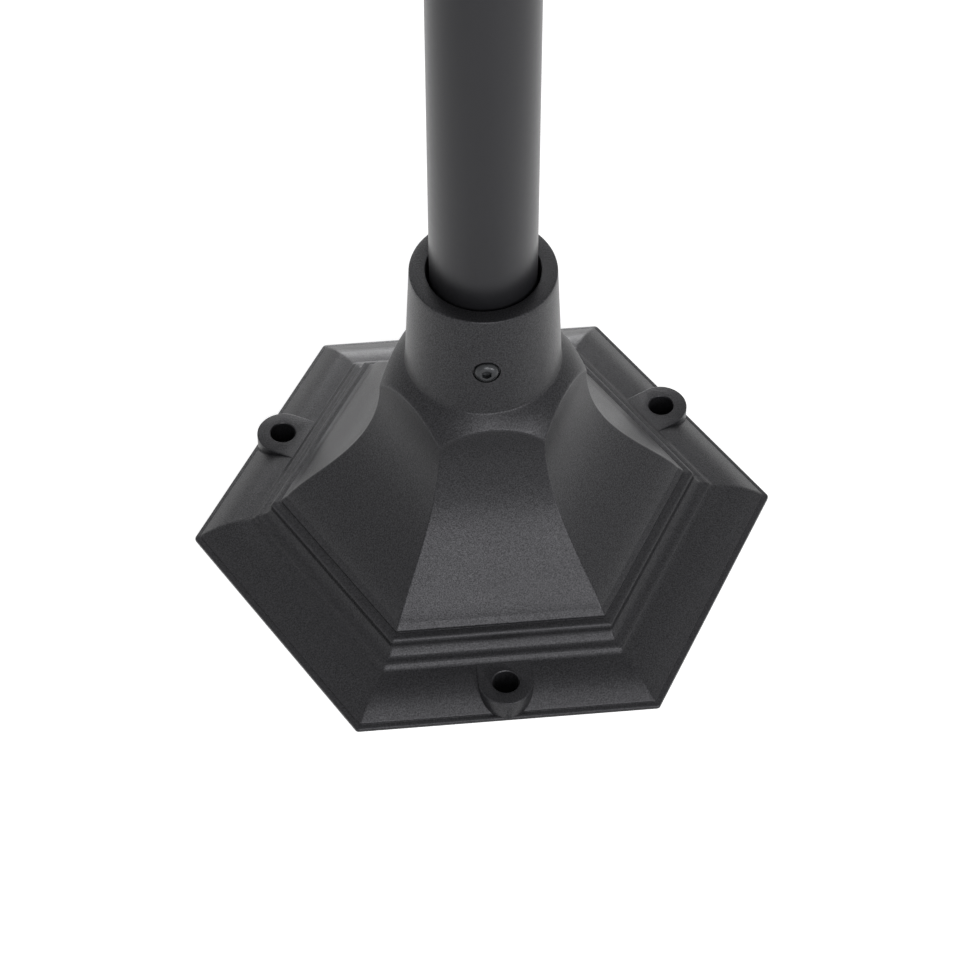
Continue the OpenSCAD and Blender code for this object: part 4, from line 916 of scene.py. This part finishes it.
def glass_side(inset):
    """Side of the bulb from its neck to the middle of its top, moved in by inset."""
    neck, r, waist = CAP_R - NECK_IN - inset, BULB_R - inset, BULB_LEN - BULB_R
    top_turn = np.linspace(0, math.pi / 2, GLASS_STEPS - 1)[1:]
    low, high = (share * BULB_LEN for share in NECK_SHARES)
    side = bend([[neck, 0], [neck, low], [r, high], [r, waist]], GLASS_STEPS)
    return np.vstack([side, np.column_stack([r * np.cos(top_turn), waist + r * np.sin(top_turn)])])


glass_outline = np.vstack([glass_side(0), glass_side(GLASS_T)[::-1]]) + [0, glass_low[2]]
glass = body_from("bulb_envelope", [lathe(glass_outline, turns=FINE)])
dress(glass, BULB_GLASS, "bulb", "bulb_glass", sharp=math.pi)

# %% Screw cap with its thread
THREAD_PITCH, THREAD_DEPTH, THREAD_FROM, THREAD_END, THREAD_FADE = 3.6, 0.55, 5.0, 2.5, 2.0
CAP_STEPS, CAP_FOOT_H, CAP_FOOT_RS, CAP_SHARE = 73, 2.8, (4.0, 5.0), 0.94
height = np.linspace(0, CAP_H, CAP_STEPS)[:, None] + 0 * ROUND
swell = np.cos(2 * math.pi * height / THREAD_PITCH - ROUND) / 2 - 0.5
in_thread = np.clip((height - THREAD_FROM) / THREAD_FADE, 0, 1)
in_thread *= np.clip((CAP_H - THREAD_END - height) / THREAD_FADE, 0, 1)
side = np.interp(height, [0, CAP_FOOT_H, THREAD_FROM, CAP_H], [*CAP_FOOT_RS, CAP_SHARE * CAP_R, CAP_R])
cap_radius = side + THREAD_DEPTH * swell * in_thread
cap = body_from("bulb_screw_cap", [shell(around(cap_radius, height + cap_low[2], ROUND))])
dress(cap, NICKEL, "bulb", "bulb_cap")

# %% [markdown]
# ## Broken edges
# No made piece has a knife edge: sheet is deburred and a casting comes softened from its mould, and
# that edge is what catches the light. The smaller solids are right in shape but sharp. Each is
# copied, its triangles are joined back into whole faces, and a Bevel modifier rounds the edges that
# are steeper than a curve's own steps.

# %% Softened copies of the smaller solids
BEVEL_ANGLE, JOIN_ANGLE = math.radians(35), math.radians(0.2)


def softened(node, width, coat, segments=2):
    """A copy of a CAD node with its edges rounded by width millimetres."""
    body = frame["nodes"][node]["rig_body"]
    mesh = frame["nodes"][node].data.copy()
    tidy(mesh, JOIN_ANGLE)
    copy = new_object(node + "_edged", mesh)
    bevel = copy.modifiers.new("edges", "BEVEL")
    bevel.width = width * MM
    bevel.segments = segments
    bevel.limit_method = "ANGLE"
    bevel.angle_limit = BEVEL_ANGLE
    bevel.use_clamp_overlap = True
    bevel.miter_outer = "MITER_ARC"
    apply_modifiers(copy)
    return dress(copy, coat, body, node)


EDGED = [("lantern_cage", 0.6, SAND), ("vent_cap", 0.5, SAND), ("floor_tray", 0.3, SHEET),
         ("pane_keeper", 0.3, SHEET), ("holder_bracket", 0.25, ZINC), ("lamp_holder", 0.7, PORCELAIN),
         ("terminal_block", 0.5, CREAM), ("thumb_screw", 0.25, STAINLESS), ("cable_gland", 0.4, NYLON),
         ("gland_nut", 0.4, NYLON), ("finial_nut", 0.4, STAINLESS), ("hinge_pin", 0.4, STAINLESS),
         ("mast_plug", 0.5, NYLON)]
for node, width, coat in EDGED:
    softened(node, width, coat)

# %% Finishes of the solids that keep their shape
KEPT = {"pane_": PANE_GLASS, "bulb_stem": BULB_GLASS, "bulb_filaments": PHOSPHOR, "mast_lead": SHEATH,
        "holder_shell": BRASS, "holder_contact": BRASS, "earth_screw": BRASS, "roof_gasket": RUBBER,
        "socket_screws": BLACK_STEEL, "terminal_screws": STAINLESS, "cage_screws": STAINLESS,
        "keeper_screws": STAINLESS, "tray_screws": STAINLESS, "bracket_screws": STAINLESS}
SPARE = {"base_casting": SAND, "lantern_socket": SAND, "roof_casting": SAND, "finial": SAND,
         "mast_tube": SATIN, "clamp_": BLACK_STEEL, "bulb_glass": BULB_GLASS, "bulb_cap": NICKEL}
coats = {**KEPT, **SPARE, **{node: coat for node, width, coat in EDGED}}
for name, solid in frame["nodes"].items():
    start = max((key for key in coats if name.startswith(key)), key=len)
    solid.data.materials.clear()
    solid.data.materials.append(coats[start])
print("solids with a finish:", len(frame["nodes"]))

# %% [markdown]
# ## The studio
# The picture was taken in a white room that has no backdrop to see. A dark coat shows its shape by
# what it mirrors: the slopes that face a lamp are bright, the level tops are dark, and the mast and
# the collar brighten towards their edges, where they mirror the room at a slant. Three soft lamps
# stand at the front and one low at the back. The floor and the room are white through Light Path to
# the rays that show them, so they need no extra lamps, and the floor keeps the lamp's soft shadow.
# Under the foot the floor is painted near black and does not glow, a painted shade, so the lug holes look
# down into the dark.

# %% White floor and room
FLOOR_HALF = 6.0
floor_mesh = bpy.data.meshes.new("studio_floor")
corners = [(x * FLOOR_HALF, y * FLOOR_HALF, 0) for x, y in ((-1, -1), (1, -1), (1, 1), (-1, 1))]
floor_mesh.from_pydata(corners, [], [(0, 1, 2, 3)])
floor = new_object("studio_floor", floor_mesh)
WHITE = (1, 1, 1, 1)
# The paper's glow rises with the distance from the foot, between these two in metres
FLOOR_GLOW, FLOOR_LIT, FLOOR_UNLIT = 0.75, 0.6, 2.4
# What the room shows, and what it adds to the light on the lamp
ROOM_GLOW, ROOM_LIGHT = 1.0, 0.15


def math_node(tree, operation, a, b):
    """What a Math node makes of two numbers or sockets."""
    return add(tree, "Math", {0: a, 1: b}, operation=operation).outputs[0]


def seen_strength(tree, direct, lighting):
    """Strength for the rays that show the background, straight, mirrored or through glass, and for
    the rest, which light the lamp."""
    path = add(tree, "LightPath").outputs
    clear = math_node(tree, "MAXIMUM", path["Is Camera Ray"], path["Is Transmission Ray"])
    shown = math_node(tree, "MAXIMUM", clear, path["Is Glossy Ray"])
    return ramp(tree, shown, lighting, direct)


def studio_paper():
    """Matt white paper that also glows to the eye, so that it reaches pure white. It needs more of
    that glow beyond the reach of the lamps. Under the foot it is painted shade: near black, with no glow."""
    made, tree, shader, place = material("studio_paper", Roughness=0.9, Specular_IOR_Level=0.0)
    fibre = noise(tree, place, 3 * MM)
    paper = tint(tree, fibre, "#e4e4e4", "#e8e8e8")
    reach = add(tree, "VectorMath", {0: place}, operation="LENGTH").outputs["Value"]
    # Painted shade: inside the foot's outline the paper is near black and has no glow
    beyond_painted_shade = math_node(tree, "GREATER_THAN", reach, FOOT_R * FLAT_SHARE * MM)
    ends = {"Factor": beyond_painted_shade, "A": linear("#161616"), "B": paper}
    surface = add(tree, "Mix", ends, data_type="RGBA").outputs["Result"]
    tree.links.new(surface, shader.inputs["Base Color"])
    glow = ramp(tree, reach, FLOOR_GLOW, ROOM_GLOW, FLOOR_LIT, FLOOR_UNLIT)
    seen = seen_strength(tree, glow, 0.0)
    shader.inputs["Emission Color"].default_value = WHITE
    tree.links.new(math_node(tree, "MULTIPLY", seen, beyond_painted_shade), shader.inputs["Emission Strength"])
    return made


floor_mesh.materials.append(studio_paper())

world = bpy.data.worlds.new("studio_room")
bpy.context.scene.world = world
world.use_nodes = True
room = world.node_tree
room.nodes["Background"].inputs["Color"].default_value = WHITE
room.links.new(seen_strength(room, ROOM_GLOW, ROOM_LIGHT), room.nodes["Background"].inputs["Strength"])
print("floor glows from", FLOOR_GLOW, "to", ROOM_GLOW)

# %% Lamps
# Each lamp has a turn round the lamp post, a rise above the ground, both in degrees, and a power in
# watts. The front is at 270 degrees.
LAMPS = {"front_low": (270, 20, 14), "front_high": (270, 40, 14), "front_right": (305, 15, 25),
         "back_low": (90, 12, 30)}
LAMP_REACH, LAMP_AIM_Z = 2.4, 0.15
LAMP_W, LAMP_H = 1.2, 0.9


def softbox(name, turn, rise, watts):
    """A rectangular lamp that faces the foot from a turn and a rise in degrees."""
    data = bpy.data.lights.new(name, "AREA")
    data.shape = "RECTANGLE"
    data.size = LAMP_W
    data.size_y = LAMP_H
    data.energy = watts
    target = Vector((0, 0, LAMP_AIM_Z))
    turn, rise = math.radians(turn), math.radians(rise)
    out = Vector((math.cos(turn) * math.cos(rise), math.sin(turn) * math.cos(rise), math.sin(rise)))
    new_object(name, data).matrix_world = aim(target + LAMP_REACH * out, target)


for name, (turn, rise, watts) in LAMPS.items():
    softbox(name, turn, rise, watts)
bpy.context.scene.view_settings.view_transform = "Standard"
print("lamps:", ", ".join(LAMPS))
